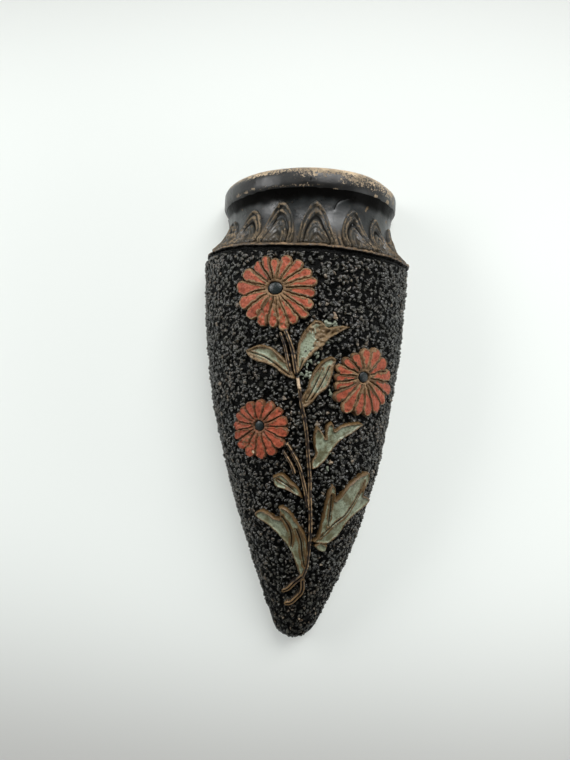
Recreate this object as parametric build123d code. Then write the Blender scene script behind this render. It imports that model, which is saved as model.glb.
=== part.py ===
from build123d import *
import math
import os

# A half-round wall pocket vase of fired clay: a flat slab carries the hanging hole, and a moulded half cone, a
# concave collar and a rolled rim are joined to its front. Flowers, leaves, stems and arches are laid on the outside.
# The finished part has its origin at the middle of the hanging hole, on the back face. +Z is up, +X is right as
# seen from the front, and the front faces -Y.
# While it is built, the tip is at z = 0, the axis of the half cone is the Z axis and the slab lies behind y = 0.

# Overall sizes, mm
height = 203.0
hole_drop = 29.0
hole_radius = 4.0
slab_thickness = 5.0
slab_lip = 0.5
wall = 5.0
bedding = 0.05
sprig_gap = 0.4
reach = 12.0

# Half cone: a long arc that stands upright at the shoulder and runs into a rounded tip
body_radius = 45.7
shoulder_drop = 34.0
tip_radius = 10.8

# Collar, bead and rim: drops are measured from the top, the run and the overhang along the radius
bead_radius = 0.95
neck_drop = 16.5
collar_run = 8.9
rim_overhang = 2.4
rim_width = 9.0
rim_height = 11.2

# Pointed arches on the collar
arch_half_width = 7.2
arch_height = 15.6
arch_relief = 1.1
arch_pad_relief = 0.4
ridge_width = 0.9
ridge_steps = 4
arch_bulge_share = 0.2
arch_angles = [-60, -38.5, -18.5, 3.2, 27, 46, 68]

# Flowers: places are shares of body_radius across and of shoulder_height up
petal_relief = 1.8
flower_pad_relief = 0.9
petal_gap = 0.5
ring_width = 0.9
eye_relief = 1.3
upper_flower_half_width = 16.4
upper_flower_half_height = 13.8
upper_flower_eye_radius = 2.4
upper_flower_petals = 18
upper_flower_place_shares = (-0.274, 0.893)
upper_flower_eye_shares = (0.03, 0.11)
right_flower_half_width = 15.7
right_flower_half_height = 13.7
right_flower_eye_radius = 2.1
right_flower_petals = 16
right_flower_place_shares = (0.598, 0.694)
right_flower_eye_shares = (-0.16, 0.15)
left_flower_half_width = 12.3
left_flower_half_height = 12.3
left_flower_eye_radius = 1.9
left_flower_petals = 15
left_flower_place_shares = (-0.392, 0.576)
left_flower_eye_shares = (0.05, 0.13)

# Leaves: the base is placed in the same shares, the outline in shares of the leaf's length, along it and to its
# left. Each outline is a list of curved sides, and each side starts at a sharp corner of the leaf.
leaf_relief = 0.7
leaf_border_relief = 1.25
leaf_border_width = 0.9
leaf_rib_width = 0.8
upper_left_leaf_length = 24.4
upper_left_leaf_lean = -63
upper_left_leaf_base_shares = (-0.072, 0.692)
upper_left_leaf_outline_shares = [
    [(0, 0), (0.12, -0.09), (0.29, -0.18), (0.50, -0.24), (0.70, -0.24), (0.88, -0.13)],
    [(1, 0), (0.89, 0.06), (0.75, 0.07), (0.55, 0.02), (0.30, 0.03), (0.12, 0.04)]]
upper_left_leaf_rib_shares = [(0.14, -0.02), (0.41, -0.06), (0.60, -0.08), (0.86, -0.02)]
upper_right_leaf_length = 28.7
upper_right_leaf_lean = 46
upper_right_leaf_base_shares = (-0.045, 0.716)
upper_right_leaf_outline_shares = [
    [(0, 0), (0.12, 0.11), (0.28, 0.26), (0.43, 0.34), (0.57, 0.36)],
    [(0.66, 0.38), (0.73, 0.29), (0.74, 0.19), (0.86, 0.14)],
    [(1, 0), (0.84, 0.04), (0.60, 0.06), (0.39, 0.05), (0.20, 0.02)]]
upper_right_leaf_rib_shares = [(0.12, 0.05), (0.30, 0.13), (0.45, 0.20), (0.60, 0.26)]
middle_right_leaf_length = 23.3
middle_right_leaf_lean = 29
middle_right_leaf_base_shares = (-0.005, 0.631)
middle_right_leaf_outline_shares = [
    [(0, 0), (0.12, 0.08), (0.32, 0.08), (0.50, 0.12), (0.66, 0.14), (0.84, 0.11)],
    [(1, 0), (0.99, -0.11), (0.85, -0.15), (0.68, -0.20), (0.50, -0.21), (0.32, -0.16), (0.15, -0.11)]]
middle_right_leaf_rib_shares = [(0.12, -0.02), (0.40, -0.04), (0.62, -0.03), (0.88, -0.02)]
side_right_leaf_length = 29.1
side_right_leaf_lean = 51
side_right_leaf_base_shares = (0.105, 0.485)
side_right_leaf_outline_shares = [
    [(0, 0), (0.07, 0.08), (0.17, 0.14), (0.23, 0.26), (0.32, 0.37)],
    [(0.42, 0.45), (0.44, 0.36)],
    [(0.42, 0.28), (0.52, 0.35)],
    [(0.62, 0.37), (0.62, 0.30)],
    [(0.59, 0.25), (0.70, 0.23), (0.86, 0.15)],
    [(1, 0), (0.87, 0.02), (0.74, 0.04), (0.58, 0.06), (0.40, 0.04), (0.23, -0.02), (0.09, -0.03)]]
side_right_leaf_rib_shares = [(0.10, 0.03), (0.24, 0.09), (0.40, 0.16), (0.62, 0.14)]
lower_left_small_leaf_length = 15.6
lower_left_small_leaf_lean = -56
lower_left_small_leaf_base_shares = (0.010, 0.412)
lower_left_small_leaf_outline_shares = [
    [(0, 0), (0.26, -0.15), (0.56, -0.20), (0.84, -0.20)],
    [(1, 0), (0.80, 0.13), (0.56, 0.08), (0.33, 0.03), (0.16, 0.02)]]
lower_left_small_leaf_rib_shares = [(0.20, -0.05), (0.50, -0.07), (0.82, -0.04)]
lower_left_large_leaf_length = 34.5
lower_left_large_leaf_lean = -41
lower_left_large_leaf_base_shares = (0.045, 0.209)
lower_left_large_leaf_outline_shares = [
    [(0, 0), (0.08, -0.09), (0.21, -0.21), (0.37, -0.31), (0.55, -0.37), (0.73, -0.41), (0.83, -0.39)],
    [(0.87, -0.34), (0.80, -0.30)],
    [(0.75, -0.25), (0.80, -0.21), (0.90, -0.18)],
    [(1, 0), (0.91, -0.03), (0.79, -0.08), (0.65, -0.11), (0.48, -0.11), (0.31, -0.08), (0.15, -0.02)]]
lower_left_large_leaf_rib_shares = [(0.14, -0.10), (0.30, -0.18), (0.50, -0.24), (0.68, -0.29)]
lower_right_large_leaf_length = 39.7
lower_right_large_leaf_lean = 44
lower_right_large_leaf_base_shares = (0.128, 0.303)
lower_right_large_leaf_outline_shares = [
    [(0, 0), (0.06, 0.01), (0.16, 0.06), (0.30, 0.15), (0.44, 0.24)],
    [(0.58, 0.29), (0.55, 0.21)],
    [(0.49, 0.14), (0.60, 0.14), (0.72, 0.15), (0.87, 0.10)],
    [(1, 0), (0.91, -0.06)],
    [(0.78, -0.12), (0.82, -0.22)],
    [(0.86, -0.32), (0.75, -0.28), (0.62, -0.21), (0.44, -0.16), (0.25, -0.17), (0.11, -0.13)]]
lower_right_large_leaf_rib_shares = [(0.10, -0.03), (0.28, -0.03), (0.48, -0.03), (0.68, -0.02), (0.88, -0.01)]
lower_right_small_leaf_length = 6.6
lower_right_small_leaf_lean = 115
lower_right_small_leaf_base_shares = (0.120, 0.292)
lower_right_small_leaf_outline_shares = [
    [(0, 0), (0.40, 0.20), (0.75, 0.16)],
    [(1, 0), (0.70, -0.16), (0.30, -0.16)]]
lower_right_small_leaf_rib_shares = [(0.20, 0), (0.50, 0.01), (0.80, 0)]

# Stems: places in the same shares as the leaf bases, from the thick end
stem_relief = 1.1
stem_width = 1.7
stalk_width = 1.0
curl_width = 1.5
main_stem_shares = [
    (0.056, 0.212), (0.088, 0.260), (0.094, 0.308), (0.100, 0.372), (0.087, 0.430), (0.060, 0.510),
    (0.030, 0.575), (-0.012, 0.635), (-0.040, 0.690)]
upper_flower_stalk_shares = [
    [(-0.105, 0.712), (-0.128, 0.745), (-0.158, 0.772), (-0.196, 0.796)],
    [(-0.070, 0.722), (-0.092, 0.754), (-0.120, 0.782), (-0.146, 0.804)]]
left_flower_stalk_shares = [
    [(-0.058, 0.476), (-0.098, 0.503), (-0.134, 0.521), (-0.172, 0.536)],
    [(0.052, 0.408), (0.020, 0.460), (-0.030, 0.506), (-0.082, 0.546)]]
root_curl_shares = [
    [(0.026, 0.203), (-0.012, 0.196), (-0.058, 0.174), (-0.120, 0.160)],
    [(0.046, 0.190), (0.045, 0.164), (0.006, 0.146), (-0.070, 0.124)]]

os.makedirs("parts", exist_ok=True)

shoulder_height = height - shoulder_drop
neck_height = height - neck_drop
neck_radius = body_radius - collar_run
rim_radius = neck_radius + rim_overhang
arc_radius = (body_radius ** 2 - tip_radius ** 2 + (shoulder_height - tip_radius) ** 2) \
    / (2 * (body_radius - tip_radius))
arc_offset = body_radius - arc_radius
flank_turn = math.atan2(shoulder_height - tip_radius, arc_radius - body_radius)
ledge_top = shoulder_height + 2 * bead_radius
ledge_rise = neck_height - ledge_top
collar_curve = (collar_run ** 2 + ledge_rise ** 2) / (2 * collar_run)
collar_turn = math.atan2(ledge_rise, collar_curve - collar_run)
collar_centre = (neck_radius + collar_curve, neck_height)
rim_centre_radius = rim_radius - rim_width / 2
rim_centre_height = height - rim_height / 2


def on_left(point):
    """A point of the profile, radius and height, on the left of the axis."""
    return (-point[0], point[1])


def flank(turn, lift=0):
    """A point of the long arc, raised square to the wall by lift."""
    return (arc_offset + (arc_radius + lift) * math.cos(turn), shoulder_height - (arc_radius + lift) * math.sin(turn))


def nose(turn, lift=0):
    """A point of the rounded tip, turned down from level, raised by lift."""
    return ((tip_radius + lift) * math.cos(turn), tip_radius - (tip_radius + lift) * math.sin(turn))


def arc_through(curve, start, end, lift=0):
    """A three point arc along one of the two curves above."""
    return ThreePointArc(*[on_left(curve(turn, lift)) for turn in (start, (start + end) / 2, end)])


def cone_section(low, high):
    """Half of the upright section between two heights above the outer wall."""
    lines = [
        arc_through(flank, 0, flank_turn, high),
        arc_through(nose, flank_turn, math.pi / 2, high),
        Line(on_left(nose(math.pi / 2, high)), on_left(nose(math.pi / 2, low))),
        arc_through(nose, math.pi / 2, flank_turn, low),
        arc_through(flank, flank_turn, 0, low),
        Line(on_left(flank(0, low)), on_left(flank(0, high)))]
    return make_face(lines)


def collar_point(turn, lift=0):
    """A point of the collar's hollow curve, turned down from the neck, raised by lift."""
    curve = collar_curve - lift
    return (collar_centre[0] - curve * math.cos(turn), collar_centre[1] - curve * math.sin(turn))


def collar_section():
    """Half of the collar's section, from the shoulder to the middle of the rim."""
    inner_turn = math.asin((neck_height - shoulder_height) / (collar_curve + wall))
    lines = [
        arc_through(collar_point, 0, collar_turn),
        Line(on_left((body_radius, ledge_top)), on_left((body_radius, shoulder_height))),
        Line(on_left((body_radius, shoulder_height)), on_left(collar_point(inner_turn, -wall))),
        arc_through(collar_point, inner_turn, 0, -wall),
        Line(on_left((neck_radius - wall, neck_height)), on_left((neck_radius - wall, rim_centre_height))),
        Line(on_left((neck_radius - wall, rim_centre_height)), on_left((neck_radius, rim_centre_height))),
        Line(on_left((neck_radius, rim_centre_height)), on_left((neck_radius, neck_height)))]
    return make_face(lines) - rim_section(bedding)


def collar_skin_section(low, high):
    """A thin band over the collar's hollow curve, for the arches."""
    lines = [
        arc_through(collar_point, 0, collar_turn, high),
        Line(on_left(collar_point(collar_turn, high)), on_left(collar_point(collar_turn, low))),
        arc_through(collar_point, collar_turn, 0, low),
        Line(on_left((neck_radius + low, neck_height)), on_left((neck_radius + high, neck_height)))]
    return make_face(lines)


def rim_section(growth=0):
    """The rim's long rounded section, grown all round by growth."""
    slot = SlotOverall(rim_height + 2 * growth, rim_width + 2 * growth, rotation=90)
    return Pos(-rim_centre_radius, rim_centre_height) * slot


def bead_section():
    """The half-round bead on the collar's lower edge."""
    disc = Pos(-body_radius - bedding, shoulder_height + bead_radius) * Circle(bead_radius)
    keep = Pos(-body_radius - bedding - bead_radius / 2, shoulder_height + bead_radius)
    return disc & keep * Rectangle(bead_radius, 2 * bead_radius)


def half_turn(section):
    """Turn a section round the front half of the axis."""
    return revolve(Plane.XZ * section, Axis.Z, 180)


def ground(across, up):
    """The plane that touches the outer wall at a place given along the wall and up."""
    turn = math.asin((shoulder_height - up) / arc_radius)
    radius = flank(turn)[0]
    bearing = across / radius
    normal = (math.cos(turn) * math.sin(bearing), -math.cos(turn) * math.cos(bearing), -math.sin(turn))
    origin = (radius * math.sin(bearing), -radius * math.cos(bearing), up)
    return Plane(origin, x_dir=(math.cos(bearing), math.sin(bearing), 0), z_dir=normal)


def placed(shares):
    """A place across and up from its shares."""
    return (shares[0] * body_radius, shares[1] * shoulder_height)


def drawn(plane, place):
    """A place on the wall as it is seen square to a plane."""
    seen = plane.to_local_coords(ground(*place).origin)
    return (seen.X, seen.Y)


def skin(low, high):
    """The layer between two heights above the outer wall."""
    return half_turn(cone_section(low, high))


def prism(plane, face):
    """An outline carried straight through the wall, from inside to outside."""
    return extrude(plane.offset(-reach) * face, 2 * reach)


laid = []


def clear_of_laid(plane, face):
    """The largest piece of an outline that is left beside what already lies on the wall."""
    for outline in laid:
        face -= outline(plane)
    return max(face.faces(), key=lambda piece: piece.area)


petal_skin = skin(bedding, petal_relief)
petal_groove_skin = skin(flower_pad_relief, 2 * petal_relief)
eye_skin = skin(bedding, eye_relief)
leaf_skin = skin(bedding, leaf_border_relief)
leaf_hollow_skin = skin(leaf_relief, 2 * leaf_border_relief)
stem_skin = skin(bedding, stem_relief)


def flower(place_shares, half_width, half_height, eye_shares, eye_radius, petals):
    """Petals on a pad round a ring, and the domed eye."""
    plane = ground(*placed(place_shares))
    eye = (eye_shares[0] * half_width, eye_shares[1] * half_height)
    ring_radius = eye_radius + bedding + ring_width
    outer = math.pi * (half_width + half_height) / (2 * petals + math.pi) - petal_gap / 2
    inner = math.pi * ring_radius / petals - petal_gap / 4
    petal_faces = []
    for number in range(petals):
        angle = 2 * math.pi * (number + 1 / 2) / petals
        tip = Vector((half_width - outer) * math.cos(angle), (half_height - outer) * math.sin(angle))
        way = (tip - Vector(*eye)).normalized()
        root = Vector(*eye) + way * eye_radius
        side = Vector(-way.Y, way.X)
        body = make_face(Polyline(root + side * inner, root - side * inner, tip - side * outer, tip + side * outer,
                                  close=True))
        petal_faces += [body, Pos(tip) * Circle(outer)]
    petal_face = Sketch() + petal_faces
    pad_face = Ellipse(half_width - outer, half_height - outer)
    hole = Pos(*eye) * Circle(eye_radius + bedding)
    ring = Pos(*eye) * Circle(ring_radius)
    grooves = prism(plane, pad_face - petal_face - ring) & petal_groove_skin
    petal_solid = (prism(plane, petal_face + pad_face - hole) & petal_skin) - grooves
    middle = placed(place_shares)
    rim = [(middle[0] + (half_width + sprig_gap) * math.cos(2 * math.pi * number / petals),
            middle[1] + (half_height + sprig_gap) * math.sin(2 * math.pi * number / petals))
           for number in range(petals)]
    laid.append(lambda view: [make_face(Spline(*[drawn(view, place) for place in rim], periodic=True))])
    dome_radius = (eye_radius ** 2 + eye_relief ** 2) / (2 * eye_relief)
    dome = plane * Pos(*eye, eye_relief - dome_radius) * Sphere(dome_radius)
    return petal_solid, dome & eye_skin


def leaf(base_shares, length, lean, outline_shares, rib_shares):
    """A thin blade with a raised border and midrib."""
    base = placed(base_shares)
    along = (math.sin(math.radians(lean)), math.cos(math.radians(lean)))

    def place(share):
        return (base[0] + length * (share[0] * along[0] - share[1] * along[1]),
                base[1] + length * (share[0] * along[1] + share[1] * along[0]))

    plane = ground(*place((1 / 2, 0)))
    sides = []
    for number, side in enumerate(outline_shares):
        ends = side + [outline_shares[(number + 1) % len(outline_shares)][0]]
        sides.append([place(share) for share in ends])

    def blade(view):
        return make_face([Spline(*[drawn(view, point) for point in side]) for side in sides])

    def border(view, width):
        corners = [Pos(*drawn(view, side[0])) * Circle(width / 2) for side in sides]
        return corners + [ribbon(view, side, width, width) for side in sides]

    face = clear_of_laid(plane, blade(plane))
    rib = ribbon(plane, [place(share) for share in rib_shares], leaf_rib_width, leaf_rib_width / 2)
    hollow = prism(plane, face - border(plane, 2 * leaf_border_width) - rib) & leaf_hollow_skin
    laid.append(lambda view: [blade(view)] + border(view, 2 * sprig_gap))
    return (prism(plane, face) & leaf_skin) - hollow


def ribbon(plane, places, width, end_width):
    """A strip along a smooth line of places, from one width to the other."""
    points = [Vector(*drawn(plane, place)) for place in places]
    last = len(points) - 1
    left = []
    right = []
    for number, point in enumerate(points):
        way = (points[min(number + 1, last)] - points[max(number - 1, 0)]).normalized()
        half = (width + (end_width - width) * number / last) / 2
        left.append(point + Vector(-way.Y, way.X) * half)
        right.append(point - Vector(-way.Y, way.X) * half)
    return make_face([Spline(*left), Line(left[-1], right[-1]), Spline(*right), Line(right[0], left[0])])


def stem(strands, width):
    """Ribbons laid on the wall, each a strand of its own."""
    ribbons = []
    for shares in strands:
        places = [placed(share) for share in shares]
        plane = ground(*places[len(places) // 2])
        face = clear_of_laid(plane, ribbon(plane, places, width, width / 2))
        ribbons.append(prism(plane, face) & stem_skin)
        laid.append(lambda view, places=places: [ribbon(view, places, width + 2 * sprig_gap,
                                                        width / 2 + 2 * sprig_gap)])
    return ribbons


def arch_face(width, rise):
    """A pointed arch that stands on its base line."""
    bulge = arch_bulge_share * rise
    left = ThreePointArc((-width, 0), (-width / 2 - bulge / 2, rise / 2 + bulge / 4), (0, rise))
    right = ThreePointArc((0, rise), (width / 2 + bulge / 2, rise / 2 + bulge / 4), (width, 0))
    return make_face([left, right, Line((width, 0), (-width, 0))])


def arch(angle):
    """Nested pointed ridges on a thin pad, square to the collar at one angle round it."""
    bearing = math.radians(angle)
    middle = collar_point(collar_turn / 2)
    lean = collar_turn / 2
    out = (math.sin(bearing), -math.cos(bearing))
    origin = (middle[0] * out[0], middle[0] * out[1], middle[1])
    normal = (math.cos(lean) * out[0], math.cos(lean) * out[1], math.sin(lean))
    plane = Plane(origin, x_dir=(math.cos(bearing), math.sin(bearing), 0), z_dir=normal)
    foot = Pos(0, -math.hypot(collar_run, ledge_rise) / 2)
    grooves = Sketch()
    for step in range(ridge_steps):
        share = 1 - step / ridge_steps - ridge_width / arch_half_width
        next_share = 1 - (step + 1) / ridge_steps
        grooves += arch_face(arch_half_width * share, arch_height * share)
        if next_share > 0:
            grooves -= arch_face(arch_half_width * next_share, arch_height * next_share)
    return (prism(plane, foot * arch_face(arch_half_width, arch_height)) & arch_skin) \
        - (prism(plane, foot * grooves) & arch_groove_skin)


arch_skin = half_turn(collar_skin_section(bedding, arch_relief))
arch_groove_skin = half_turn(collar_skin_section(arch_pad_relief, 2 * arch_relief))


def mirrored(lines):
    """Lines on the left, and their mirror images on the right."""
    return lines + [mirror(line, about=Plane.YZ) for line in lines]


def slab_outline():
    """The outline of the whole front, with the slab's lip all round."""
    shoulder = on_left((body_radius + slab_lip, shoulder_height))
    ledge = on_left((body_radius + slab_lip, ledge_top + slab_lip))
    collar_foot = on_left(collar_point(collar_turn, slab_lip))
    neck = on_left((neck_radius + slab_lip, neck_height))
    neck_top = on_left((neck_radius + slab_lip, rim_centre_height))
    cone = make_face(mirrored([
        arc_through(flank, 0, flank_turn, slab_lip), arc_through(nose, flank_turn, math.pi / 2, slab_lip),
        Line(shoulder, (0, shoulder_height))]))
    collar = make_face(mirrored([
        Line((0, shoulder_height), shoulder), Line(shoulder, ledge), Line(ledge, collar_foot),
        arc_through(collar_point, 0, collar_turn, slab_lip), Line(neck, neck_top),
        Line(neck_top, (0, rim_centre_height))]))
    mouth = Pos(0, rim_centre_height) * Rectangle(2 * rim_centre_radius, rim_height + 2 * slab_lip)
    rim = rim_section(slab_lip)
    return Sketch() + [cone, collar, mouth, rim, mirror(rim, about=Plane.YZ)]


def back_slab():
    """The flat back, with the hole that takes the nail."""
    slab = extrude(Plane.XZ * slab_outline(), slab_thickness, dir=(0, 1, 0))
    drill = Rot(X=90) * Cylinder(hole_radius, 4 * slab_thickness)
    return slab - Pos(0, 0, height - hole_drop) * drill


pieces = {
    "back_slab": back_slab(),
    "front_shell": half_turn(cone_section(-wall, 0)),
    "shoulder_collar": half_turn(collar_section()),
    "ledge_bead": half_turn(bead_section()),
    "rolled_rim": half_turn(rim_section())}

for number, angle in enumerate(arch_angles):
    pieces[f"collar_arch_{number + 1}"] = arch(angle)

flowers = {
    "upper_flower": (upper_flower_place_shares, upper_flower_half_width, upper_flower_half_height,
                     upper_flower_eye_shares, upper_flower_eye_radius, upper_flower_petals),
    "right_flower": (right_flower_place_shares, right_flower_half_width, right_flower_half_height,
                     right_flower_eye_shares, right_flower_eye_radius, right_flower_petals),
    "left_flower": (left_flower_place_shares, left_flower_half_width, left_flower_half_height,
                    left_flower_eye_shares, left_flower_eye_radius, left_flower_petals)}
leaves = {
    "upper_left_leaf": (upper_left_leaf_base_shares, upper_left_leaf_length, upper_left_leaf_lean,
                        upper_left_leaf_outline_shares, upper_left_leaf_rib_shares),
    "upper_right_leaf": (upper_right_leaf_base_shares, upper_right_leaf_length, upper_right_leaf_lean,
                         upper_right_leaf_outline_shares, upper_right_leaf_rib_shares),
    "middle_right_leaf": (middle_right_leaf_base_shares, middle_right_leaf_length, middle_right_leaf_lean,
                          middle_right_leaf_outline_shares, middle_right_leaf_rib_shares),
    "side_right_leaf": (side_right_leaf_base_shares, side_right_leaf_length, side_right_leaf_lean,
                        side_right_leaf_outline_shares, side_right_leaf_rib_shares),
    "lower_left_small_leaf": (lower_left_small_leaf_base_shares, lower_left_small_leaf_length,
                              lower_left_small_leaf_lean, lower_left_small_leaf_outline_shares,
                              lower_left_small_leaf_rib_shares),
    "lower_left_large_leaf": (lower_left_large_leaf_base_shares, lower_left_large_leaf_length,
                              lower_left_large_leaf_lean, lower_left_large_leaf_outline_shares,
                              lower_left_large_leaf_rib_shares),
    "lower_right_large_leaf": (lower_right_large_leaf_base_shares, lower_right_large_leaf_length,
                               lower_right_large_leaf_lean, lower_right_large_leaf_outline_shares,
                               lower_right_large_leaf_rib_shares),
    "lower_right_small_leaf": (lower_right_small_leaf_base_shares, lower_right_small_leaf_length,
                               lower_right_small_leaf_lean, lower_right_small_leaf_outline_shares,
                               lower_right_small_leaf_rib_shares)}
stems = {
    "upper_flower_stalks": (upper_flower_stalk_shares, stalk_width),
    "left_flower_stalks": (left_flower_stalk_shares, stalk_width), "root_curls": (root_curl_shares, curl_width)}

for name, sizes in flowers.items():
    pieces[name], pieces[f"{name}_eye"] = flower(*sizes)
pieces["main_stem"] = Compound(children=stem([main_stem_shares], stem_width))
for name, sizes in leaves.items():
    pieces[name] = leaf(*sizes)
for name, (strands, width) in stems.items():
    pieces[name] = Compound(children=stem(strands, width))

for name, piece in pieces.items():
    export_step(Pos(0, -slab_thickness, hole_drop - height) * piece, f"parts/{name}.step")
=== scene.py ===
import math
import bpy
import bmesh
import numpy as np
from mathutils import Matrix, Vector, kdtree, noise


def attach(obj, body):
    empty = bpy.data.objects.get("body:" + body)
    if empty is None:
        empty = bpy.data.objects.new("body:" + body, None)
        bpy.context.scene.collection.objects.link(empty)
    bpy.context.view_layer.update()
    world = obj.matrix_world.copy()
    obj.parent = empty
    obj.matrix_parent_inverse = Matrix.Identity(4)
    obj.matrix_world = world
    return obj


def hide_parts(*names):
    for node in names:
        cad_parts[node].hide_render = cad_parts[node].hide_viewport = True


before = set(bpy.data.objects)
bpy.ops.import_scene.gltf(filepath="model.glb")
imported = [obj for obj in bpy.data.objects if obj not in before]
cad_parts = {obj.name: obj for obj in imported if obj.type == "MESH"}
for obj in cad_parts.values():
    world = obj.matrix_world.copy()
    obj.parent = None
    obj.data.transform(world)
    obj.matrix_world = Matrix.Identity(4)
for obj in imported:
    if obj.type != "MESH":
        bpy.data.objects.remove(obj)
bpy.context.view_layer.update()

# Millimetres, with the tip of the cone at height 0. The function settle turns them into the frame's metres
vase = {
    "height": 203.0, "shoulder": 169.0, "bodyRadius": 45.7, "tipRadius": 10.8, "wall": 5.0, "slab": 5.0,
    "holeDrop": 29.0, "holeRadius": 4.0, "ledgeTilt": 0.041, "seed": 11,
    "bend": [(0, -0.9), (14, 0.0), (46, 1.05), (70, 0.9), (108, 0.0), (166, 0.0), (172, 1.1), (203, 1.1)]}
noise.seed_set(vase["seed"])  # else noise_vector starts from the clock
flankHeight = vase["shoulder"] - vase["tipRadius"]
narrowing = vase["bodyRadius"] - vase["tipRadius"]
flankRadius = (vase["bodyRadius"] ** 2 - vase["tipRadius"] ** 2 + flankHeight ** 2) / (2 * narrowing)
flankCentre = vase["bodyRadius"] - flankRadius
flankTurn = math.atan2(flankHeight, flankRadius - vase["bodyRadius"])
flankLength = flankRadius * flankTurn
wallLength = flankLength + vase["tipRadius"] * (math.pi / 2 - flankTurn)


def ease(value, low, high):  # 0 below low, 1 above high, smooth between
    share = np.clip((value - low) / (high - low), 0, 1)
    return share * share * (3 - 2 * share)


def fade(value, low, high):  # 1 below low, 0 above high
    return 1 - ease(value, low, high)


def hump(value, middle, width):  # 1 at the middle, less on both sides of it
    return np.exp(-((value - middle) / width) ** 2)


def arc(share):  # the height of a half circle, 1 in the middle and 0 at its edge
    return np.sqrt(np.clip(1 - share ** 2, 0, 1))


def columns(*parts):  # one row a point, plain numbers repeated
    return np.stack(np.broadcast_arrays(*parts), axis=1)


def roundLine(middle, size, start, end, steps, closed=False):  # points on a circle or an ellipse
    return [(middle[0] + size[0] * math.cos(angle), middle[1] + size[1] * math.sin(angle))
            for angle in np.linspace(start, end, steps, endpoint=not closed)]


def bend(z):  # how far the hand-made middle line leans to the right at each height
    heights, moves = np.array(vase["bend"]).T
    number = np.clip(np.searchsorted(heights, z) - 1, 0, len(heights) - 2)
    return moves[number] + (moves[number + 1] - moves[number]) * ease(z, heights[number], heights[number + 1])


def settle(x, y, z):  # the lean of ledge and body, none at the nail hole, then the frame's own metres
    tilt = ease(z, 150, 169) * fade(z, 178, 192)
    origin = vase["height"] - vase["holeDrop"]
    free = np.where(y < -vase["slab"] - 0.2, 1, ease(np.hypot(x, z - origin), 6, 16))
    moved = x + bend(z) * free
    return np.stack([moved, y, z - x * vase["ledgeTilt"] * tilt * free - origin], axis=-1) * 0.001


def flank(down):  # turn, radius and height of the wall, down measured on it from the shoulder
    turn = np.minimum(down / flankRadius, flankTurn)
    return turn, flankCentre + flankRadius * np.cos(turn), vase["shoulder"] - flankRadius * np.sin(turn)


def alongWall(bearing, down, lift):
    turn, radius, height = flank(down)
    nose = np.maximum(down - flankLength, 0) / vase["tipRadius"]
    full = turn + nose
    radius = np.where(nose > 0, vase["tipRadius"] * np.cos(full), radius)
    height = np.where(nose > 0, vase["tipRadius"] * (1 - np.sin(full)), height)
    out = radius + lift * np.cos(full)
    return settle(out * np.sin(bearing), -vase["slab"] - out * np.cos(bearing), height - lift * np.sin(full))


def onWall(across, up, lift):  # a place read off the unrolled wall
    turn = np.arcsin(np.clip((vase["shoulder"] - up) / flankRadius, -1, 1))
    radius = flankCentre + flankRadius * np.cos(turn)
    return alongWall((across - bend(up)) / radius, turn * flankRadius, lift)


def smoothLine(points, steps=6):  # a curve through its points, ends kept
    points = [np.array(point, float) for point in points]
    ends = [2 * points[0] - points[1]] + points + [2 * points[-1] - points[-2]]
    line = []
    for number in range(len(points) - 1):
        a, b, c, d = ends[number:number + 4]
        for step in range(steps):
            t = step / steps
            line.append(0.5 * (2 * b + (c - a) * t + (2 * a - 5 * b + 4 * c - d) * t ** 2
                               + (3 * b - a - 3 * c + d) * t ** 3))
    return line + [points[-1]]


def nearLine(places, line, closed=False):  # distance to a line, the foot on it, and how far along
    line = np.array(line, float)
    starts = line if closed else line[:-1]
    ends = np.roll(line, -1, axis=0) if closed else line[1:]
    best = np.full(len(places), 1e9)
    foot = np.zeros((len(places), 2))
    along = np.zeros(len(places))
    for number, (a, b) in enumerate(zip(starts, ends)):
        run = b - a
        share = np.clip(((places - a) @ run) / max(run @ run, 1e-9), 0, 1)
        near = a + share[:, None] * run
        gap = np.hypot(*(places - near).T)
        closer = gap < best
        best[closer] = gap[closer]
        foot[closer] = near[closer]
        along[closer] = (number + share[closer]) / len(starts)
    return best, foot, along


def inside(places, outline):
    hit = np.zeros(len(places), bool)
    for a, b in zip(outline, np.roll(outline, -1, axis=0)):
        crosses = (a[1] > places[:, 1]) != (b[1] > places[:, 1])
        rise = b[1] - a[1] if b[1] != a[1] else 1e-9
        hit ^= crosses & (places[:, 0] < (b[0] - a[0]) * (places[:, 1] - a[1]) / rise + a[0])
    return hit


def roughly(places, size, seed):  # smooth noise over places, about -1 to 1
    offset = Vector((seed * 7.3, seed * 3.1, seed * 5.7))
    return np.array([noise.noise(Vector(place) / size + offset) for place in places]) * 1.6


def grain(across, up, coarse, fine, seed):  # a wide and a small noise over the unrolled wall
    places = columns(across, up, 0)
    return roughly(places, coarse, seed), roughly(places, fine, seed + 1)


def wornSpots(across, up, spots, core, stray=0):  # each spot's place, reach and depth
    worn = 0 * up
    for s, z, reach, depth in spots:
        worn = np.maximum(worn, depth * fade(np.hypot(across - s, up - z) + stray, core * reach, reach))
    return worn


def readPlaces(mesh):
    places = np.empty(len(mesh.vertices) * 3, np.float32)
    mesh.vertices.foreach_get("co", places)
    return places.reshape(-1, 3).astype(float)


def writePlaces(mesh, places):
    mesh.vertices.foreach_set("co", places.astype(np.float32).ravel())
    mesh.update()


def writeTone(mesh, tone):  # four numbers a point, which the materials read by name
    attribute = mesh.attributes.new("tone", "FLOAT_COLOR", "POINT")
    attribute.data.foreach_set("color", np.clip(tone, 0, 1).astype(np.float32).ravel())


def toMesh(bm, name):
    mesh = bpy.data.meshes.new(name)
    bm.to_mesh(mesh)
    bm.free()
    return mesh


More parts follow.
